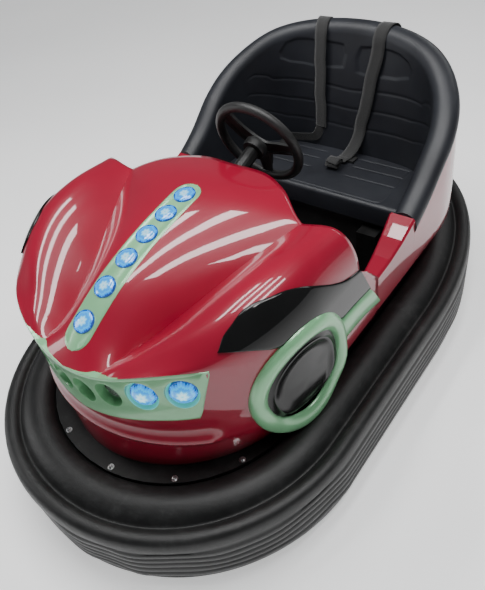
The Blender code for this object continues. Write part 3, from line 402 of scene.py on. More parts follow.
def side_at(y, w):
    """Point on the front body's left side: w is 0 at the bonnet's edge, 90 degrees at the wing crest."""
    edge_z, crest_x, crest_z = (float(smooth_read(SECTIONS, y, c)) for c in (6, 4, 5))
    half = max(float(nose_half(y)), crest_x + 0.001)
    if w >= 0.0:
        return np.array((crest_x + (half - crest_x) * math.cos(w), y,
                         edge_z + (crest_z - edge_z) * math.sin(w)))
    z = max(edge_z + (crest_z - edge_z) * w, WALL_LEVELS[0, 0])
    level_half, level_nose = (float(smooth_read(WALL_LEVELS, z, c)) for c in (1, 2))
    reach = min(1.0, max(0.0, (NOSE_CENTRE - y) / level_nose))
    return np.array((level_half * math.sqrt(1.0 - reach * reach), y, z))


def side_turn(y, z):
    """The w that belongs to a station and a height."""
    edge_z, crest_z = (float(smooth_read(SECTIONS, y, c)) for c in (6, 5))
    rise = (z - edge_z) / max(crest_z - edge_z, 0.001)
    return math.asin(min(rise, 1.0)) if rise > 0.0 else rise


def side_point(y, w, proud, step=0.004):
    """Point standing proud of the left side of the front body."""
    along = side_at(y + step, w) - side_at(y - step, w)
    rising = side_at(y, w + 0.03) - side_at(y, w - 0.03)
    normal = np.cross(along, rising)
    normal /= np.linalg.norm(normal)
    return side_at(y, w) + normal * (proud if normal[0] > 0.0 or normal[2] > 0.0 else -proud)


def deselect():
    for obj in bpy.context.selected_objects:
        obj.select_set(False)


def add_piece(name, shape, finish, stands_for=(), angle=35.0, body="chassis"):
    """Links a finished mesh piece, shades it and ties it to its body; shape is its points and faces."""
    points, faces = shape
    mesh = bpy.data.meshes.new(name)
    mesh.from_pydata([tuple(float(c) for c in p) for p in points], [], [tuple(f) for f in faces])
    mesh.validate()
    obj = bpy.data.objects.new(name, mesh)
    bpy.context.collection.objects.link(obj)
    tidy_normals(mesh)
    mesh.materials.append(FINISHES[finish])
    mesh.shade_smooth()
    mesh.set_sharp_from_angle(angle=math.radians(angle))
    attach(obj, body)
    if stands_for:
        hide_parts(*stands_for)
    return obj


def tidy_normals(mesh):
    bm = bmesh.new()
    bm.from_mesh(mesh)
    bmesh.ops.remove_doubles(bm, verts=bm.verts, dist=0.00002)
    bmesh.ops.recalc_face_normals(bm, faces=bm.faces)
    bm.to_mesh(mesh)
    bm.free()


def apply_modifier(obj, kind, **settings):
    modifier = obj.modifiers.new(kind.title(), kind)
    for name, value in settings.items():
        setattr(modifier, name, value)
    deselect()
    bpy.context.view_layer.objects.active = obj
    obj.select_set(True)
    bpy.ops.object.modifier_apply(modifier=modifier.name)


def cut_away(context, obj, points, faces):
    """Removes a closed shape from a piece."""
    mesh = bpy.data.meshes.new("cutter")
    mesh.from_pydata([tuple(p) for p in points], [], faces)
    tidy_normals(mesh)
    cutter = bpy.data.objects.new("cutter", mesh)
    context.collection.objects.link(cutter)
    apply_modifier(obj, "BOOLEAN", operation="DIFFERENCE", solver="EXACT", object=cutter)
    bpy.data.objects.remove(cutter, do_unlink=True)


def grid_faces(rows, columns, close_rows=False, close_columns=False):
    faces = []
    for r in range(rows if close_rows else rows - 1):
        for c in range(columns if close_columns else columns - 1):
            r2, c2 = (r + 1) % rows, (c + 1) % columns
            faces.append((r * columns + c, r * columns + c2, r2 * columns + c2, r2 * columns + c))
    return faces


def lofted(loops, close_path=False, cap=True):
    """Points and faces of equal closed loops skinned one after another."""
    rows, columns = len(loops), len(loops[0])
    points = [p for loop in loops for p in loop]
    faces = grid_faces(rows, columns, close_path, True)
    if cap and not close_path:
        faces.append(tuple(range(columns))[::-1])
        faces.append(tuple((rows - 1) * columns + c for c in range(columns)))
    return points, faces


def turned(profile, centre, axis, segments=48):
    """Points and faces of (reach, rise) points turned about an axis; ends at reach 0 are closed."""
    axis = Vector(axis).normalized()
    helper = Vector((1.0, 0.0, 0.0)) if abs(axis.x) < 0.9 else Vector((0.0, 1.0, 0.0))
    u = axis.cross(helper).normalized()
    v = axis.cross(u)
    loops = []
    for reach, rise in profile:
        reach = max(reach, 0.0001)
        loops.append([Vector(centre) + axis * rise + reach * (math.cos(a) * u + math.sin(a) * v)
                      for a in (2 * math.pi * k / segments for k in range(segments))])
    return lofted(loops)


def combine(parts):
    """Joins several (points, faces) shapes into one."""
    points, faces = [], []
    for some_points, some_faces in parts:
        base = len(points)
        points += list(some_points)
        faces += [tuple(i + base for i in face) for face in some_faces]
    return points, faces


def mirrored(points):
    return [(-p[0], p[1], p[2]) for p in points]


# ---------------------------------------------------------------- ring tyre and rim
def tyre_plan(inset, steps=90):
    half = TYRE_HIGH[0] - inset
    points = []
    for centre, length, start in ((TYRE_HIGH[1] - TYRE_TAIL_ROUND, TYRE_TAIL_ROUND, 0.0),
                                  (TYRE_LOW[1] + TYRE_NOSE_ROUND, TYRE_NOSE_ROUND, math.pi)):
        for k in range(steps + 1):
            angle = start + math.pi * k / steps
            c = math.cos(angle)
            x = half * math.copysign(abs(c) ** 0.963, c)
            points.append((x, centre + (length - inset) * math.sin(angle)))
    return points


def tyre_profile():
    """Section of the tyre, (inset, height): ribbed sidewall, shoulder rib, groove, crown and inner lip."""
    section = [(0.150, 0.055), (0.100, 0.048), (0.040, 0.045), (0.016, 0.049), (0.006, 0.062)]
    for rib in range(5):
        z = 0.078 + 0.026 * rib
        section += [(0.0045, z - 0.006), (0.0008, z - 0.002), (0.0, z + 0.006), (0.0008, z + 0.014),
                    (0.0045, z + 0.0175)]
    section += [(0.004, 0.212), (0.006, 0.226), (0.010, 0.238), (0.017, 0.245), (0.026, 0.2475),
                (0.036, 0.2472)]
    section += [(0.045, 0.244), (0.051, 0.238), (0.055, 0.233), (0.059, 0.233), (0.063, 0.238)]
    for k in range(1, 16):
        t = k / 16.0
        section.append((0.063 + 0.100 * t, 0.238 + 0.024 * math.sin(math.pi * t) ** 0.7 + 0.006 * t))
    section += [(0.1655, 0.238), (0.1678, 0.230), (0.168, 0.080)]
    return section


BOLT_WASHER = ((0.0, 0.0), (0.009, 0.0), (0.009, 0.0012), (0.0, 0.0012))
BOLT_HEAD = ((0.0, 0.001), (0.0055, 0.001), (0.0055, 0.0055), (0.004, 0.0065), (0.0, 0.0065))


class CAR_OT_ring_tyre(bpy.types.Operator):
    """Ring tyre with its ribs, and the bolts of the steel rim"""

    bl_idname = "bumper_car.ring_tyre"
    bl_label = "Ring Tyre"

    def execute(self, context):
        section = tyre_profile()
        plans = {inset: tyre_plan(inset) for inset, _ in section}
        count = len(tyre_plan(0.0))
        loops = []
        for k in range(count):
            turn = 2 * math.pi * k / count
            wave = 0.0042 * math.sin(9 * turn + 1.3) + 0.0022 * math.sin(23 * turn + 0.5)
            sink = 0.0016 * (1.0 + math.sin(13 * turn + 2.0 * math.sin(5 * turn)))
            loop = []
            for inset, z in section:
                on_rib = 1.0 if inset < 0.006 and 0.066 < z < 0.205 else 0.0
                x, y = plans[inset][k]
                share = 1.0 - on_rib * sink / TYRE_HIGH[0]
                loop.append((x * share, y * share, z + on_rib * wave * math.sin(30.0 * z)))
            loops.append(loop)
        add_piece("ring_tyre", lofted(loops, close_path=True), "tyre", ("bumper_tyre",), 60.0)

        bolts = []
        plan = tyre_plan(0.181, 60)
        for k in range(4, len(plan), 9):
            x, y = plan[k]
            foot = Vector((x, y, FLANGE_TOP))
            bolts.append(turned(BOLT_WASHER, foot, (0, 0, 1), 20))
            bolts.append(turned(BOLT_HEAD, foot, (0, 0, 1), 6))
        add_piece("rim_bolts", combine(bolts), "bright", angle=20.0)
        return {"FINISHED"}


# ---------------------------------------------------------------- front body
def cap_grid(columns, groove_column, crest_column, nose_rows, straight_rows):
    """Bonnet plan as a grid with no pole at the nose, and a column along each groove and each wing crest."""
    shares = np.arange(-columns, columns + 1)
    size = np.abs(shares)
    inner = np.clip(size / groove_column, 0.0, 1.0)
    middle = np.clip((size - groove_column) / (crest_column - groove_column), 0.0, 1.0)
    outer = np.sin(0.5 * np.pi * np.clip((size - crest_column) / (columns - crest_column), 0.0, 1.0))
    plan = []
    for row in range(nose_rows + straight_rows + 1):
        on_nose = row <= nose_rows
        v = 1.0 - row / nose_rows
        t = (row - nose_rows) / straight_rows
        spread = math.sqrt(1.0 - v * v / 2.0) if on_nose else 1.0
        y = np.full(len(shares), NOSE_CENTRE)
        for _ in range(16):
            groove = smooth_read(SECTIONS, y, 2) / (BODY_HALF * spread)
            crest = smooth_read(SECTIONS, y, 4) / (BODY_HALF * spread)
            u = groove * inner + (crest - groove) * middle + (1.0 - crest) * outer
            x = BODY_HALF * u * spread
            if on_nose:
                y = NOSE_CENTRE - NOSE_ROUND * v * np.sqrt(1.0 - u**2 / 2.0)
            else:
                y = NOSE_CENTRE + (smooth_read(COWL_LINE, x, 1) - NOSE_CENTRE) * t
        plan.append(np.stack((np.copysign(1.0, shares) * x, y), 1))
    return plan


def lip(x, z):
    """How far the nose stands out of its plain wall: a ridge under the light bar, a shallow band above."""
    fade = min(1.0, max(0.0, (0.345 - abs(x)) / 0.03))
    ridge = 0.013 * math.exp(-(((z - 0.376) / 0.017) ** 2))
    hollow = 0.004 * math.exp(-(((z - 0.420) / 0.020) ** 2))
    return fade * (ridge - hollow)


def front_shell_surface(columns):
    plan = cap_grid(columns, int(columns * 0.46), int(columns * 0.72), int(columns * 0.95),
                    int(columns * 0.45))
    rows, width = len(plan), 2 * columns + 1
    points = []
    for line in plan:
        heights = bonnet_height(line[:, 0], line[:, 1])
        points += [np.array((x, y, z)) for (x, y), z in zip(line, heights)]
    faces = grid_faces(rows, width)
    edge = [row * width for row in range(rows - 1, 0, -1)] + list(range(width))
    edge += [row * width + width - 1 for row in range(1, rows)]
    levels = [FLANGE_CLEAR, 0.256, 0.275, 0.295, 0.32, 0.335, 0.345, 0.352, 0.358, 0.364, 0.370, 0.376,
              0.382,
              0.388, 0.394, 0.402, 0.410, 0.418, 0.426, 0.434, 0.442, 0.450, 0.458, 0.466, 0.474, 0.482,
              0.49,
              0.50, 0.515, 0.53, 0.545, 0.56, 0.572]
    above = edge
    for level in levels[::-1]:
        below = []
        half, nose = (float(smooth_read(WALL_LEVELS, level, c)) for c in (1, 2))
        for top in edge:
            x, y, z = points[top]
            at_x = x * half / BODY_HALF
            if y < NOSE_CENTRE:
                at_y = NOSE_CENTRE + (y - NOSE_CENTRE) * nose / NOSE_ROUND
                out = np.array((at_x / half**2, (at_y - NOSE_CENTRE) / nose**2))
                out *= lip(at_x, level) / np.linalg.norm(out)
                at_x, at_y = at_x + out[0], at_y + out[1]
            else:
                share = (y - NOSE_CENTRE) / (float(smooth_read(COWL_LINE, BODY_HALF, 1)) - NOSE_CENTRE)
                at_y = NOSE_CENTRE + share * (wall_rear(level) - NOSE_CENTRE)
            below.append(len(points))
            points.append(np.array((at_x, at_y, min(level, z - 0.006))))
        faces += [(above[k], below[k], below[k + 1], above[k + 1]) for k in range(len(edge) - 1)]
        above = below
    return points, faces


BAR_TOP = np.array(((0.0, 0.583), (0.09, 0.592), (0.168, 0.609), (0.226, 0.622), (0.282, 0.629),
                    (0.344, 0.624)))
BAR_LOW = np.array(((0.0, 0.421), (0.140, 0.446), (0.228, 0.460), (0.309, 0.464), (0.312, 0.470),
                    (0.344, 0.614)))


def bar_limits(x):
    """Lower and upper edge of the light bar at a distance from the middle."""
    return float(np.interp(x, BAR_LOW[:, 0], BAR_LOW[:, 1])), float(smooth_read(BAR_TOP, x, 1))


def nose_point(x, z, proud=0.0):
    y = NOSE_CENTRE - NOSE_ROUND * math.sqrt(1.0 - (x / BODY_HALF) ** 2)
    normal = Vector((x / BODY_HALF**2, (y - NOSE_CENTRE) / NOSE_ROUND**2, 0.0)).normalized()
    return Vector((x, y, z)) + normal * proud, normal


class CAR_OT_front_shell(bpy.types.Operator):
    """Gloss front body with its bonnet grooves and wing crests"""

    bl_idname = "bumper_car.front_shell"
    bl_label = "Front Shell"

    def execute(self, context):
        settings = context.scene.bumper_car
        shell = add_piece("front_shell", front_shell_surface(settings.shell_detail), "red", ("front_body",),
                          24.0)
        bm = bmesh.new()
        bm.from_mesh(shell.data)
        highest = max(bm.faces, key=lambda f: f.calc_center_median().z)
        if highest.normal.z < 0.0:
            bmesh.ops.reverse_faces(bm, faces=bm.faces)
            bm.to_mesh(shell.data)
        bm.free()
        apply_modifier(shell, "SOLIDIFY", thickness=0.005, offset=-1.0, use_rim=True)
        loops = []
        for k in range(49):
            x = -0.337 + 0.674 * k / 48.0
            low, high = bar_limits(abs(x))
            rim = nose_point(x, high)[0]
            high = min(high - 0.004, float(bonnet_height(x, rim.y)) - 0.007)
            low = min(low + 0.005, high - 0.002)
            loops.append([nose_point(x, z, proud)[0] for z, proud in (
                (low, -0.040), (low, 0.030), (high, 0.030), (high, -0.040))])
        cut_away(context, shell, *lofted(loops))
        return {"FINISHED"}


# ---------------------------------------------------------------- lights
def lens_piece(name, foot, normal, radius, stands_for, dome=0.009):
    """A lamp: thin rim, domed lens, and the map across the lens that its glow reads."""
    rows = 18
    profile = [(0.0, -0.003), (radius, -0.003), (radius, 0.0015), (radius * 0.97, 0.003),
               (radius * 0.93, 0.003), (radius * 0.90, 0.0012)]
    profile += [(radius * 0.90 * math.cos(0.5 * math.pi * k / rows),
                 0.0012 + dome * math.sin(0.5 * math.pi * k / rows)) for k in range(1, rows + 1)]
    lens = add_piece(name, turned(profile, foot, normal, 72), "lens", stands_for, 50.0)
    helper = Vector((0.0, 0.0, 1.0)) if abs(normal.z) < 0.8 else Vector((0.0, 1.0, 0.0))
    across = normal.cross(helper).normalized()
    rising = across.cross(normal)
    place = lens.data.attributes.new("lens_place", "FLOAT_VECTOR", "POINT")
    for vertex, item in zip(lens.data.vertices, place.data):
        away = (vertex.co - foot) / radius
        item.vector = (away.dot(across), away.dot(rising), 0.0)
    return lens


def bonnet_frame(y):
    """Point and normal on the bonnet's middle line."""
    step = 0.004
    slope = (bonnet_height(0.0, y + step) - bonnet_height(0.0, y - step)) / (2 * step)
    return Vector((0.0, y, float(bonnet_height(0.0, y)))), Vector((0.0, -float(slope), 1.0)).normalized()


# across the strip and down the bar: share of the width or height, distance proud of the body
STRIP_SECTION = (
    (-1.0, -0.006), (-1.0, 0.0006), (-0.93, 0.0022), (-0.80, 0.0022), (-0.74, 0.0008), (-0.37, 0.0008),
    (0.0, 0.0008),
    (0.37, 0.0008), (0.74, 0.0008), (0.80, 0.0022), (0.93, 0.0022), (1.0, 0.0006), (1.0, -0.006),
)
BAR_SECTION = (
    (0.0, -0.024), (0.0, 0.0), (0.02, 0.0018), (0.05, 0.0018), (0.08, 0.0004), (0.3, 0.0), (0.5, 0.0),
    (0.7, 0.0), (0.92, 0.0004), (0.95, 0.0018), (0.98, 0.0018), (1.0, 0.0), (1.0, -0.024),
)
CUP_DEPTH, CUP_STRETCH = 0.0285, 1.16


class CAR_OT_bonnet_lights(bpy.types.Operator):
    """Pale strip on the bonnet and its row of lit lamps"""

    bl_idname = "bumper_car.bonnet_lights"
    bl_label = "Bonnet Lights"

    def execute(self, context):
        half, rear, front = 0.041, -0.200, -0.712
        sections = []
        for k in range(61):
            y = rear - 0.0008 + (front - rear + 0.0016) * (k / 60.0)
            end = min(rear - y, y - front)
            width = half * math.sqrt(max(0.0, 1.0 - max(0.0, 1.0 - end / half) ** 2)) if end < half else half
            width = max(width, 0.003)
            row = []
            for share, proud in STRIP_SECTION:
                x = width * share
                row.append((x, y, float(bonnet_height(x, y)) + proud))
            sections.append(row)
        add_piece("bonnet_strip", lofted(sections), "green", ("bonnet_light_strip",), 40.0)
        for number, y in enumerate(BONNET_LAMP_Y, 1):
            foot, normal = bonnet_frame(y)
            lens_piece(f"bonnet_lens_{number}", foot, normal, 0.030, (f"bonnet_lamp_{number}",), 0.006)
        return {"FINISHED"}


class CAR_OT_front_lights(bpy.types.Operator):
    """Light bar across the nose with two lit lamps at each end and unlit cups between"""

    bl_idname = "bumper_car.front_lights"
    bl_label = "Front Lights"

    def execute(self, context):
        loops = []
        for k in range(97):
            x = -0.344 + 0.688 * k / 96.0
            low, high = bar_limits(abs(x))
            loop = []
            for share, proud in BAR_SECTION:
                z = low + (high - low) * share
                loop.append(nose_point(x, z, proud)[0])
            rear = loop[-1]
            rear.z = min(rear.z, float(bonnet_height(rear.x, rear.y)) - 0.003)
            loops.append(loop)
        bar = add_piece("light_bar", lofted(loops), "green", ("front_light_bar",))
        for side, label in ((1, "left"), (-1, "right")):
            for name, x, z, radius, lit in BAR_LAMPS:
                foot, normal = nose_point(side * x, z)
                inward = Vector((normal.x * 0.985, normal.y * 0.985, 0.17))
                self.sink(context, bar, foot, inward, radius)
                if lit:
                    lens_piece(f"front_lens_{label}_{name}", foot - inward * 0.012, inward, radius * 0.84,
                               (f"front_lamp_{label}_{name}",), 0.016)
                    # cup lining beside the lit lens, with painted lamplight
                    self.paint_cup_light(f"cup_painted_light_{label}_{name}", foot, inward, radius)
                else:
                    disc = [turned(((0.0, -0.0270), (radius * 0.70, -0.0270), (radius * 0.68, -0.0240),
                                    (0.0, -0.0232)), foot, inward, 36)]
                    for ring, count in ((0.22, 6), (0.42, 12), (0.58, 18)):
                        for k in range(count):
                            angle = 2 * math.pi * k / count
                            side_way = inward.cross(Vector((0, 0, 1))).normalized()
                            out = math.cos(angle) * side_way + math.sin(angle) * side_way.cross(inward)
                            place = foot + radius * ring * out
                            disc.append(turned(((0.0, -0.0236), (0.0016, -0.0236), (0.0012, -0.0226),
                                                (0.0, -0.0224)), place, inward, 8))
                    add_piece(f"cup_disc_{label}_{name}", combine(disc), "speckle")
        return {"FINISHED"}

    def sink(self, context, bar, foot, inward, radius):
        """Cuts a tall oval cup into the bar."""
        points, faces = turned((
            (0.0, -CUP_DEPTH), (radius * 0.74, -CUP_DEPTH), (radius * 0.80, -0.026), (radius * 0.98, -0.004),
            (radius * 1.06, 0.003), (radius * 1.3, 0.02), (0.0, 0.02)), foot, inward, 48)
        points = [Vector((p[0], p[1], foot.z + (p[2] - foot.z) * CUP_STRETCH)) for p in points]
        cut_away(context, bar, points, faces)

    def paint_cup_light(self, name, foot, inward, radius):
        """Lining of a cup with painted lamplight, brightest low down beside its lens."""
        points, faces = turned((
            (radius * 0.76, -0.0270), (radius * 0.81, -0.0250), (radius * 0.97, -0.0045),
            (radius * 0.95, -0.0045),
            (radius * 0.79, -0.0250), (radius * 0.74, -0.0262)), foot, inward, 48)
        points = [Vector((p[0], p[1], foot.z + (p[2] - foot.z) * CUP_STRETCH)) for p in points]
        faces = [face for face in faces if len(face) == 4]
        # the lining takes the painted lamplight finish
        add_piece(name, (points, faces), "glow")


# ---------------------------------------------------------------- side trim
RING_MIDDLE = (0.136, 0.156)
RING_HALF = (0.0205, 0.0250)
FLASH_TOP = (
    (-0.566, 0.658), (-0.541, 0.680), (-0.514, 0.695), (-0.474, 0.712), (-0.448, 0.717), (-0.422, 0.717),
    (-0.387, 0.714), (-0.350, 0.702), (-0.311, 0.680), (-0.261, 0.648), (-0.224, 0.628), (-0.150, 0.605),
)
FLASH_LOW = (
    (-0.566, 0.658), (-0.537, 0.649), (-0.509, 0.637), (-0.482, 0.622), (-0.440, 0.605), (-0.380, 0.590),
    (-0.300, 0.555), (-0.240, 0.516), (-0.180, 0.510), (-0.098, 0.499),
)
STEM_SECTION = ((0.0, -0.003), (0.0, 0.003), (0.06, 0.008), (0.2, 0.0105), (0.5, 0.0115), (0.8, 0.0105),
                (0.94, 0.008), (1.0, 0.003), (1.0, -0.003))


def curve_through(points, count):
    """Even smooth curve through (a, b) points."""
    points = np.array(points)
    along = np.concatenate(([0.0], np.cumsum(np.linalg.norm(np.diff(points, axis=0), axis=1))))
    table = np.column_stack((along, points))
    steps = np.linspace(0.0, along[-1], count)
    return np.stack([smooth_read(table, steps, c) for c in range(1, table.shape[1])], 1)


class CAR_OT_side_trim(bpy.types.Operator):
    """Black flash, pale ring with its stem and dark disc on each side"""

    bl_idname = "bumper_car.side_trim"
    bl_label = "Side Trim"

    def execute(self, context):
        loops = []
        for k in range(120):
            angle = 2 * math.pi * k / 120
            loop = []
            for j in range(20):
                turn = 2 * math.pi * j / 20
                y = ARCH_Y + (RING_MIDDLE[0] + RING_HALF[0] * math.cos(turn)) * math.cos(angle)
                z = ARCH_Z + (RING_MIDDLE[1] + RING_HALF[1] * math.cos(turn)) * math.sin(angle)
                level = 0.5 * (z + 0.35 + math.hypot(z - 0.35, 0.03))
                place = side_point(y, side_turn(y, level), 0.0185 * max(math.sin(turn), -0.2))
                place[2] += z - level
                loop.append(place)
            loops.append(loop)
        ring = lofted(loops, close_path=True)

        stem_top = curve_through(((-0.262, 0.516), (-0.170, 0.509), (-0.099, 0.497)), 24)
        stem_low = curve_through(((-0.250, 0.440), (-0.138, 0.433), (-0.053, 0.416)), 24)
        stem = self.band(stem_top, stem_low, STEM_SECTION)

        disc_points, disc_faces = [side_point(ARCH_Y, side_turn(ARCH_Y, ARCH_Z), 0.0015)], []
        rings = ((0.3, 0.0015), (0.6, 0.0018), (0.78, 0.0022), (0.80, 0.0045), (0.87, 0.0048),
                 (0.89, 0.0020), (0.97, 0.0010), (1.06, 0.0010))
        for share, proud in rings:
            for k in range(72):
                angle = 2 * math.pi * k / 72
                y = ARCH_Y + (RING_MIDDLE[0] - RING_HALF[0]) * share * math.cos(angle)
                z = ARCH_Z + (RING_MIDDLE[1] - RING_HALF[1]) * share * math.sin(angle)
                disc_points.append(side_point(y, side_turn(y, z), proud))
        for k in range(72):
            disc_faces.append((0, 1 + k, 1 + (k + 1) % 72))
        for r in range(len(rings) - 1):
            for k in range(72):
                a, b = 1 + r * 72 + k, 1 + r * 72 + (k + 1) % 72
                disc_faces.append((a, a + 72, b + 72, b))
        disc = (disc_points, disc_faces)

        shares = [(0.0, -0.002), (0.0, 0.0015), (0.015, 0.0036), (0.04, 0.0046)]
        shares += [(k / 30.0, 0.0048) for k in range(2, 29)]
        shares += [(0.975, 0.0040), (1.0, 0.0015), (1.0, -0.002)]
        flash = self.band(curve_through(FLASH_TOP, 90), curve_through(FLASH_LOW, 90), shares)

        for side, label in ((-1, "right"), (1, "left")):
            pieces = (("arch_ring", combine((ring, stem)), "green"), ("arch_disc", disc, "disc"),
                      ("side_flash", flash, "gloss"))
            for base, (points, faces), finish in pieces:
                placed = points if side > 0 else mirrored(points)
                add_piece(f"{base}_skin_{label}", (placed, faces), finish, (f"{base}_{label}",), 45.0)
        return {"FINISHED"}

    def band(self, top, low, shares):
        """Skin between two lines of the side, standing proud by the second number of each share."""
        loops = []
        for (y1, z1), (y2, z2) in zip(top, low):
            w1, w2 = side_turn(y1, z1), side_turn(y2, z2)
            loops.append([side_point(y1 + (y2 - y1) * share, w1 + (w2 - w1) * share, proud)
                          for share, proud in shares])
        return lofted(loops)


# ---------------------------------------------------------------- rear body and seat
def u_point(kind, value, half, tail, power, front=None):
    front = SILL_REAR if front is None else front
    if kind == "turn":
        c, s = math.cos(value), math.sin(value)
        return math.copysign(abs(c) ** (2 / power), c) * half, TAIL_CENTRE + tail * abs(s) ** (2 / power)
    return (half if kind == "left" else -half), front + (TAIL_CENTRE - front) * value


def u_stations(straight, turns):
    """Stations along the U of the tail, spaced finer round the bend."""
    stations = [("left", k / straight) for k in range(straight)]
    stations += [("turn", math.pi * k / turns) for k in range(turns + 1)]
    return stations + [("right", k / straight) for k in range(straight - 1, -1, -1)]


def rim_height(kind, value):
    y = u_point(kind, value, *RIM_PLAN, 2.1)[1]
    return float(smooth_read(RIM_HEIGHTS, y, 1))


def u_normal(kind, value):
    if kind != "turn":
        return np.array((1.0 if kind == "left" else -1.0, 0.0, 0.0))
    normal = np.array((math.cos(value) / RIM_PLAN[0], math.sin(value) / RIM_PLAN[1], 0.0))
    return normal / np.linalg.norm(normal)


def seat_inner(kind, value, z):
    top = rim_height(kind, value) - RIM_ROLL
    share = min(1.0, max(0.0, (z - SEAT_TOP) / (top - SEAT_TOP)))
    low = u_point(kind, value, CUSHION_HIGH[0] + 0.0012, 0.235, 3.6)
    high = u_point(kind, value, 0.384, 0.284, 2.2)
    return np.array((low[0] + (high[0] - low[0]) * share, low[1] + (high[1] - low[1]) * share, z))


class CAR_OT_rear_shell(bpy.types.Operator):
    """Gloss rear body"""

    bl_idname = "bumper_car.rear_shell"
    bl_label = "Rear Shell"

    def execute(self, context):
        loops = []
        for kind, value in u_stations(10, 70):
            top = rim_height(kind, value) - RIM_ROLL - 0.022
            outer, inner = [], []
            for k in range(21):
                z = 0.2465 + (top - 0.2465) * k / 20.0
                half, tail = (float(smooth_read(TAIL_LEVELS, z, c)) for c in (1, 2))
                half = min(half, BODY_HALF)
                outer.append((*u_point(kind, value, half, tail, 2.15), z))
                inner.append((*u_point(kind, value, half - 0.005, tail - 0.005, 2.15), z))
            loops.append(outer + inner[::-1])
        add_piece("rear_shell", lofted(loops), "red", ("rear_body",), 40.0)
        return {"FINISHED"}


# seat back: pressed lines, (distance from the middle, height), and outlines of its sunk panels, (x, height)
BACK_LINES = (
    ((0.0, 0.652), (0.24, 0.673), (0.285, 0.675), (0.30, 0.691), (0.334, 0.703), (0.349, 0.695)),
    ((0.0, 0.587), (0.245, 0.602), (0.307, 0.620), (0.35, 0.636), (0.358, 0.622)),
    ((0.0, 0.520), (0.255, 0.532), (0.321, 0.556), (0.33, 0.550)),
)
BACK_PANELS = (
    ((-0.260, 0.769), (-0.236, 0.803), (-0.198, 0.815), (-0.158, 0.813), (-0.030, 0.802), (-0.020, 0.770),
     (-0.030, 0.722), (-0.125, 0.716), (-0.179, 0.725), (-0.230, 0.732), (-0.258, 0.748)),
    ((0.015, 0.760), (0.031, 0.799), (0.092, 0.806), (0.142, 0.806), (0.180, 0.803), (0.220, 0.787),
     (0.237, 0.762), (0.226, 0.735), (0.172, 0.716), (0.121, 0.712), (0.060, 0.707), (0.019, 0.712)),
)


def inside_by(outline, x, z):
    """Distance of a point inside a closed outline, or below zero outside it."""
    a = np.array(outline)
    b = np.roll(a, -1, 0)
    p = np.array((x, z))
    side = b - a
    share = np.clip(((p - a) * side).sum(1) / (side * side).sum(1), 0.0, 1.0)
    away = np.linalg.norm(a + side * share[:, None] - p, axis=1).min()
    meets = (b[:, 0] - a[:, 0]) * (z - a[:, 1]) / (b[:, 1] - a[:, 1] + 1e-12) + a[:, 0]
    crossing = ((a[:, 1] > z) != (b[:, 1] > z)) & (x < meets)
    return away if crossing.sum() % 2 else -away


def line_depth(distance, half_width=0.0035, depth=0.0022):
    return depth * math.exp(-((distance / half_width) ** 2))


CUSHION_BORDER = ((-0.10, 0.330), (0.240, 0.330), (0.256, 0.336), (0.262, 0.352), (0.262, 0.577),
                  (0.250, 0.590), (-0.10, 0.597))


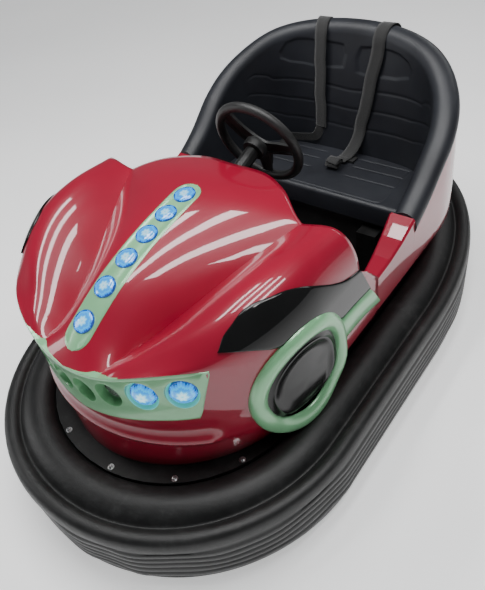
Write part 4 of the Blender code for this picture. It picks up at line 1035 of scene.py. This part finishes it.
class CAR_OT_bench_seat(bpy.types.Operator):
    """Moulded bench seat: back with its rolled edge and pressed lines, and the cushion"""

    bl_idname = "bumper_car.bench_seat"
    bl_label = "Bench Seat"

    def execute(self, context):
        loops = []
        for kind, value in u_stations(30, 300):
            normal = u_normal(kind, value)
            top = rim_height(kind, value)
            lip = seat_inner(kind, value, top - RIM_ROLL)
            centre = lip + normal * RIM_ROLL
            loop = []
            steps = 110
            low = SEAT_TOP - 0.02
            for k in range(steps):
                z = low + (top - RIM_ROLL - low) * k / steps
                place = seat_inner(kind, value, z)
                loop.append(place + normal * self.pressed(place))
            for k in range(25):
                angle = math.pi * (1.0 - 1.17 * k / 24.0)
                out = math.cos(angle) * normal + np.array((0, 0, math.sin(angle)))
                loop.append(centre + RIM_ROLL * out)
            neck = lip + normal * 0.03
            loop += [np.array((neck[0], neck[1], top - RIM_ROLL - 0.021))]
            foot = seat_inner(kind, value, low) + normal * 0.024
            loop += [np.array((foot[0], foot[1], low))]
            loops.append(loop)
        back = add_piece("seat_back_skin", lofted(loops), "seat", ("seat_back",), 50.0)
        self.cushion()
        return {"FINISHED"}

    def pressed(self, place):
        """Depth of the pressed lines and of the two sunk panels at a point of the back."""
        x, y, z = place
        if y < TAIL_CENTRE + 0.04:
            return 0.0
        depth = 0.0
        for line in BACK_LINES:
            fade = min(1.0, max(0.0, (line[-1][0] - abs(x)) / 0.01))
            depth += fade * line_depth(z - float(np.interp(abs(x), *zip(*line))))
        for panel in BACK_PANELS:
            depth += 0.0035 * min(1.0, max(0.0, inside_by(panel, x, z) / 0.006))
        return depth

    def cushion(self):
        rows, columns = 130, 190
        half = CUSHION_HIGH[0]
        front, rear = CUSHION_LOW[1], CUSHION_HIGH[1]
        points = []
        for r in range(rows + 1):
            for c in range(columns + 1):
                u, v = 2.0 * c / columns - 1.0, r / rows
                y = front + (rear - front) * v
                bend = min(1.0, max(0.0, y - TAIL_CENTRE) / (rear - TAIL_CENTRE + 0.0001))
                reach = half * (1.0 - bend ** 3.6) ** (1 / 3.6)
                x = u * max(reach, 0.30 * half)
                depth = 0.0
                for line in (0.430, 0.490, 0.540):
                    fade = min(1.0, max(0.0, (0.262 - abs(x)) / 0.006))
                    fade *= min(1.0, max(0.0, (abs(x) - 0.066) / 0.01))
                    depth += fade * line_depth(y - line)
                border = -inside_by(CUSHION_BORDER, abs(x), y)
                depth += line_depth(border)
                edge = min(1.0, (y - front) / 0.018)
                drop = 0.014 * (1.0 - math.sqrt(max(0.0, 1.0 - (1.0 - edge) ** 2)))
                points.append((x, y, SEAT_TOP - 0.0005 - depth * 0.9 - drop))
        faces = grid_faces(rows + 1, columns + 1)
        low = CUSHION_LOW[2]
        width = columns + 1
        border = list(range(width)) + [r * width + columns for r in range(1, rows + 1)]
        border += [rows * width + c for c in range(columns - 1, -1, -1)]
        border += [r * width for r in range(rows - 1, 0, -1)]
        start = len(points)
        for i in border:
            x, y, _ = points[i]
            points.append((x, y, low))
        n = len(border)
        faces += [(border[k], start + k, start + (k + 1) % n, border[(k + 1) % n]) for k in range(n)]
        faces.append(tuple(start + k for k in range(n)))
        cushion = add_piece("seat_cushion_skin", (points, faces), "seat", ("seat_cushion",), 50.0)


# ---------------------------------------------------------------- steering wheel
# middle plate: pairs of edges, each as (across, up) in the wheel's plane
PLATE_EDGES = (
    (((-0.072, 0.106), (-0.045, 0.045), (-0.022, 0.018), (0.012, -0.004), (0.060, 0.004), (0.131, 0.022)),
     ((-0.108, 0.076), (-0.082, 0.016), (-0.054, -0.022), (-0.002, -0.050), (0.060, -0.036),
      (0.131, -0.012))),
    (((0.026, -0.040), (0.020, -0.070), (0.010, -0.100), (0.006, -0.131)),
     ((-0.040, -0.030), (-0.032, -0.070), (-0.026, -0.100), (-0.024, -0.128))),
)


PLATE_SECTION = (
    # share of the way across, height towards the driver
    (0.0, -0.004), (0.0, 0.0045), (0.08, 0.0055), (0.16, 0.0045), (0.20, 0.0015), (0.80, 0.0015),
    (0.84, 0.0045), (0.92, 0.0055), (1.0, 0.0045), (1.0, -0.004),
)
BOSS = ((0.0, -0.033), (0.033, -0.033), (0.035, -0.028), (0.036, -0.010), (0.033, -0.006), (0.0, -0.005))
SHAFT = ((0.0, -0.11), (0.012, -0.11), (0.012, -0.03), (0.0, -0.03))


class CAR_OT_hand_wheel(bpy.types.Operator):
    """Three-spoke steering wheel with a V-shaped middle plate"""

    bl_idname = "bumper_car.hand_wheel"
    bl_label = "Steering Wheel"

    def execute(self, context):
        side = Vector((1.0, 0.0, 0.0))
        up = COLUMN_AXIS.cross(side) * -1.0
        ring = []
        for k in range(120):
            angle = 2 * math.pi * k / 120
            out = math.cos(angle) * side + math.sin(angle) * up
            loop = []
            for j in range(20):
                turn = 2 * math.pi * j / 20
                skin = math.cos(turn) * out + math.sin(turn) * COLUMN_AXIS
                loop.append(HUB + out * HANDWHEEL_RADIUS + HANDWHEEL_GRIP * skin)
            ring.append(loop)
        parts = [lofted(ring, close_path=True)]
        for first, second in PLATE_EDGES:
            first, second = curve_through(first, 30), curve_through(second, 30)
            loops = []
            for a, b in zip(first, second):
                loop = []
                for share, rise in PLATE_SECTION:
                    u, v = (float(c) for c in a + (b - a) * share)
                    dish = 0.014 * max(0.0, 1.0 - (u * u + v * v) / 0.0172)
                    loop.append(HUB + u * side + v * up + COLUMN_AXIS * (dish - rise))
                loops.append(loop)
            parts.append(lofted(loops))
        parts += [turned(BOSS, HUB, COLUMN_AXIS, 40), turned(SHAFT, HUB, COLUMN_AXIS, 24)]
        add_piece("hand_wheel", combine(parts), "matte", ("steering_wheel",), 40.0, "steering")
        return {"FINISHED"}


# ---------------------------------------------------------------- belts
def webbing_strip(points, across, width, thickness=0.0022, samples=8):
    """Flat band along a smooth line; across is its width direction at each end."""
    path = curve_through(points, len(points) * samples)
    loops = []
    for k, place in enumerate(path):
        ahead = Vector(path[min(k + 1, len(path) - 1)] - path[max(k - 1, 0)]).normalized()
        share = k / (len(path) - 1)
        side = Vector(across[0]).lerp(Vector(across[1]), share)
        thin = ahead.cross(side).normalized()
        wide = thin.cross(ahead).normalized()
        half, edge = width / 2.0, thickness / 2.0
        loop = [Vector(place) + wide * a * half + thin * b * edge for a, b in (
            (-1.0, 0.0), (-0.97, -1.0), (-0.5, -1.0), (0.0, -1.0), (0.5, -1.0), (0.97, -1.0),
            (1.0, 0.0), (0.97, 1.0), (0.5, 1.0), (0.0, 1.0), (-0.5, 1.0), (-0.97, 1.0))]
        loops.append(loop)
    return lofted(loops)


def back_at(x, z):
    """Inner face of the seat back at a given x and height, with its normal."""
    angles = np.linspace(0.35, math.pi - 0.35, 200)
    spots = [seat_inner("turn", a, z) for a in angles]
    best = min(range(len(spots)), key=lambda k: abs(spots[k][0] - x))
    return spots[best], u_normal("turn", angles[best]), angles[best]


def belt_line(x_top, x_low, low_z, clear=0.0045):
    _, normal, angle = back_at(x_top, 0.80)
    top = rim_height("turn", angle)
    centre = seat_inner("turn", angle, top - RIM_ROLL) + normal * RIM_ROLL
    points = []
    for degrees in (0.0, 25.0, 50.0, 75.0, 100.0, 130.0, 160.0):
        turn = math.radians(degrees)
        out = math.cos(turn) * normal + np.array((0, 0, math.sin(turn)))
        points.append(centre + (RIM_ROLL + clear) * out)
    for k in range(1, 9):
        share = k / 8.0
        z = centre[2] + (low_z - centre[2]) * share
        spot, normal, _ = back_at(x_top + (x_low - x_top) * share, z)
        points.append(spot - normal * (clear + 0.006 * math.sin(math.pi * share)))
    return points


class CAR_OT_belts(bpy.types.Operator):
    """Two shoulder belts over the seat back and a rolled end; the slider and the clip are the frame's own
    pieces
    """

    bl_idname = "bumper_car.belts"
    bl_label = "Shoulder Belts"

    def execute(self, context):
        width = context.scene.bumper_car.webbing_width
        right = belt_line(-0.117, -0.112, SEAT_TOP + 0.075)
        first = webbing_strip(right, ((1, 0, 0), (1, 0, 0)), width)
        tail = [right[-1], np.array((-0.130, 0.565, 0.470)), np.array((-0.175, 0.556, 0.462)),
                np.array((-0.235, 0.548, 0.458))]
        second = webbing_strip(tail, ((0.4, 0.2, -0.9), (0, 0.3, -0.9)), width * 0.8)
        add_piece("belt_right_strap", combine((first, second)), "webbing", ("belt_right",), 60.0)

        left = belt_line(0.108, 0.045, SEAT_TOP + 0.080)
        left += [np.array((0.036, 0.552, SEAT_TOP + 0.035)), np.array((0.026, 0.528, SEAT_TOP + 0.016)),
                 np.array((0.016, 0.490, SEAT_TOP + 0.012))]
        strap = webbing_strip(left, ((1, 0, 0), (1, 0, 0)), width)
        add_piece("belt_left_strap", strap, "webbing", ("belt_left",), 60.0)

        coil = []
        for k in range(60):
            turn = 2 * math.pi * 2.4 * k / 59
            reach = 0.007 + 0.0125 * k / 59
            coil.append(np.array((0.012 + 0.004 * math.sin(turn), 0.455 + 1.35 * reach * math.cos(turn),
                                  SEAT_TOP + 0.0215 + reach * math.sin(turn))))
        roll = webbing_strip(coil, ((1, 0, 0), (1, 0, 0)), width, samples=2)
        add_piece("belt_coil", roll, "webbing", ("belt_roll",), 60.0)
        return {"FINISHED"}


# ---------------------------------------------------------------- carried-over pieces and stage
CARRIED = {
    "painted": ("tyre_rim", "floor_pan", "footwell_bracket", "steering_column", "column_post",
                "drive_bridge", "drive_fork", "rear_bracket_left", "rear_bracket_right",
                "accelerator_pedal"),
    "matte": ("seat_front_panel", "battery_pack", "belt_slider", "belt_clip"),
    "red": ("sill_left", "sill_right"),
    "bright": ("steering_gearbox", "drive_motor"),
    "wheel": ("drive_wheel", "rear_wheel_left", "rear_wheel_right"),
}


class CAR_OT_carried_nodes(bpy.types.Operator):
    """Finishes on the frame's own pieces"""

    bl_idname = "bumper_car.carried_nodes"
    bl_label = "Frame Finishes"

    def execute(self, context):
        for finish, names in CARRIED.items():
            for name in names:
                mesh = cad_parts[name].data
                mesh.materials.clear()
                mesh.materials.append(FINISHES[finish])
        return {"FINISHED"}


CAMERA_PLACE = Vector((0.988, -1.086, 1.575))
CAMERA_YAW, CAMERA_PITCH, CAMERA_ROLL = -0.7933, -0.7537, -0.2043


def camera_matrix():
    forward = Vector((math.sin(CAMERA_YAW) * math.cos(CAMERA_PITCH),
                      math.cos(CAMERA_YAW) * math.cos(CAMERA_PITCH), math.sin(CAMERA_PITCH)))
    level = Vector((forward.y, -forward.x, 0.0)).normalized()
    lift = level.cross(forward)
    right = math.cos(CAMERA_ROLL) * level + math.sin(CAMERA_ROLL) * lift
    upward = -math.sin(CAMERA_ROLL) * level + math.cos(CAMERA_ROLL) * lift
    matrix = Matrix((right, upward, -forward)).transposed().to_4x4()
    matrix.translation = CAMERA_PLACE
    return matrix


def area_light(name, place, target, size, power, colour=(1.0, 1.0, 1.0)):
    light = bpy.data.lights.new(name, "AREA")
    light.shape = "RECTANGLE"
    light.size, light.size_y = size
    light.energy = power
    light.color = colour
    obj = bpy.data.objects.new(name, light)
    obj.location = place
    obj.rotation_euler = (Vector(target) - Vector(place)).to_track_quat("-Z", "Y").to_euler()
    bpy.context.collection.objects.link(obj)


class CAR_OT_stage(bpy.types.Operator):
    """Pale floor, soft studio light and the camera"""

    bl_idname = "bumper_car.stage"
    bl_label = "Stage"

    def execute(self, context):
        deselect()
        bpy.ops.mesh.primitive_plane_add(size=30.0, location=(0.0, 0.0, 0.0))
        floor = context.object
        floor.name = "studio_floor"
        finish = Finish("studio_floor")
        tone = finish.ramp(finish.noise(1.0), ((0.3, grey(0.90)), (0.7, grey(0.94))))
        finish.colour(tone)
        finish.links.new(tone, finish.shader.inputs["Emission Color"])
        finish.shader.inputs["Emission Strength"].default_value = 0.66
        finish.set(Roughness=0.7, Specular_IOR_Level=0.2)
        floor.data.materials.append(finish.material)

        world = bpy.data.worlds.new("studio")
        world.use_nodes = True
        world.node_tree.nodes["Background"].inputs["Color"].default_value = (0.9, 0.95, 1.0, 1.0)
        world.node_tree.nodes["Background"].inputs["Strength"].default_value = 0.12
        context.scene.world = world
        for number, x in enumerate((-1.15, -0.35, 0.45, 1.25)):
            area_light(f"ceiling_strip_{number}", (x, -0.15, 2.9), (x, -0.15, 0.0), (0.26, 1.5), 26.0)
        area_light("window_left", (-3.0, -2.2, 1.6), (0.0, -0.3, 0.5), (0.7, 1.6), 22.0)
        area_light("window_rear", (0.6, 3.2, 2.2), (0.0, 0.2, 0.5), (2.4, 0.5), 16.0)

        camera = bpy.data.cameras.new("camera")
        camera.sensor_width = 36.0
        camera.lens = 35.33
        camera.clip_start = 0.02
        obj = bpy.data.objects.new("camera", camera)
        obj.matrix_world = camera_matrix()
        context.collection.objects.link(obj)
        context.scene.camera = obj
        return {"FINISHED"}


class CAR_PT_panel(bpy.types.Panel):
    """Lists the car's pieces and settings"""

    bl_idname = "CAR_PT_panel"
    bl_label = "Bumper Car"
    bl_space_type = "VIEW_3D"
    bl_region_type = "UI"
    bl_category = "Bumper Car"

    def draw(self, context):
        settings = context.scene.bumper_car
        for name in BumperCarSettings.__annotations__:
            self.layout.prop(settings, name)
        for operator in OPERATORS:
            self.layout.operator(operator.bl_idname)


OPERATORS = (
    CAR_OT_stage, CAR_OT_carried_nodes, CAR_OT_ring_tyre, CAR_OT_front_shell, CAR_OT_bonnet_lights,
    CAR_OT_front_lights,
    CAR_OT_side_trim, CAR_OT_rear_shell, CAR_OT_bench_seat, CAR_OT_hand_wheel, CAR_OT_belts,
)
CLASSES = (BumperCarSettings, *OPERATORS, CAR_PT_panel)
FINISHES = {}


def register():
    for cls in CLASSES:
        bpy.utils.register_class(cls)
    bpy.types.Scene.bumper_car = PointerProperty(type=BumperCarSettings)


def unregister():
    del bpy.types.Scene.bumper_car
    for cls in reversed(CLASSES):
        bpy.utils.unregister_class(cls)


def main():
    register()
    FINISHES.update(make_finishes(bpy.context.scene.bumper_car))
    for operator in OPERATORS:
        getattr(bpy.ops.bumper_car, operator.bl_idname.split(".")[1])()


if __name__ == "__main__":
    main()
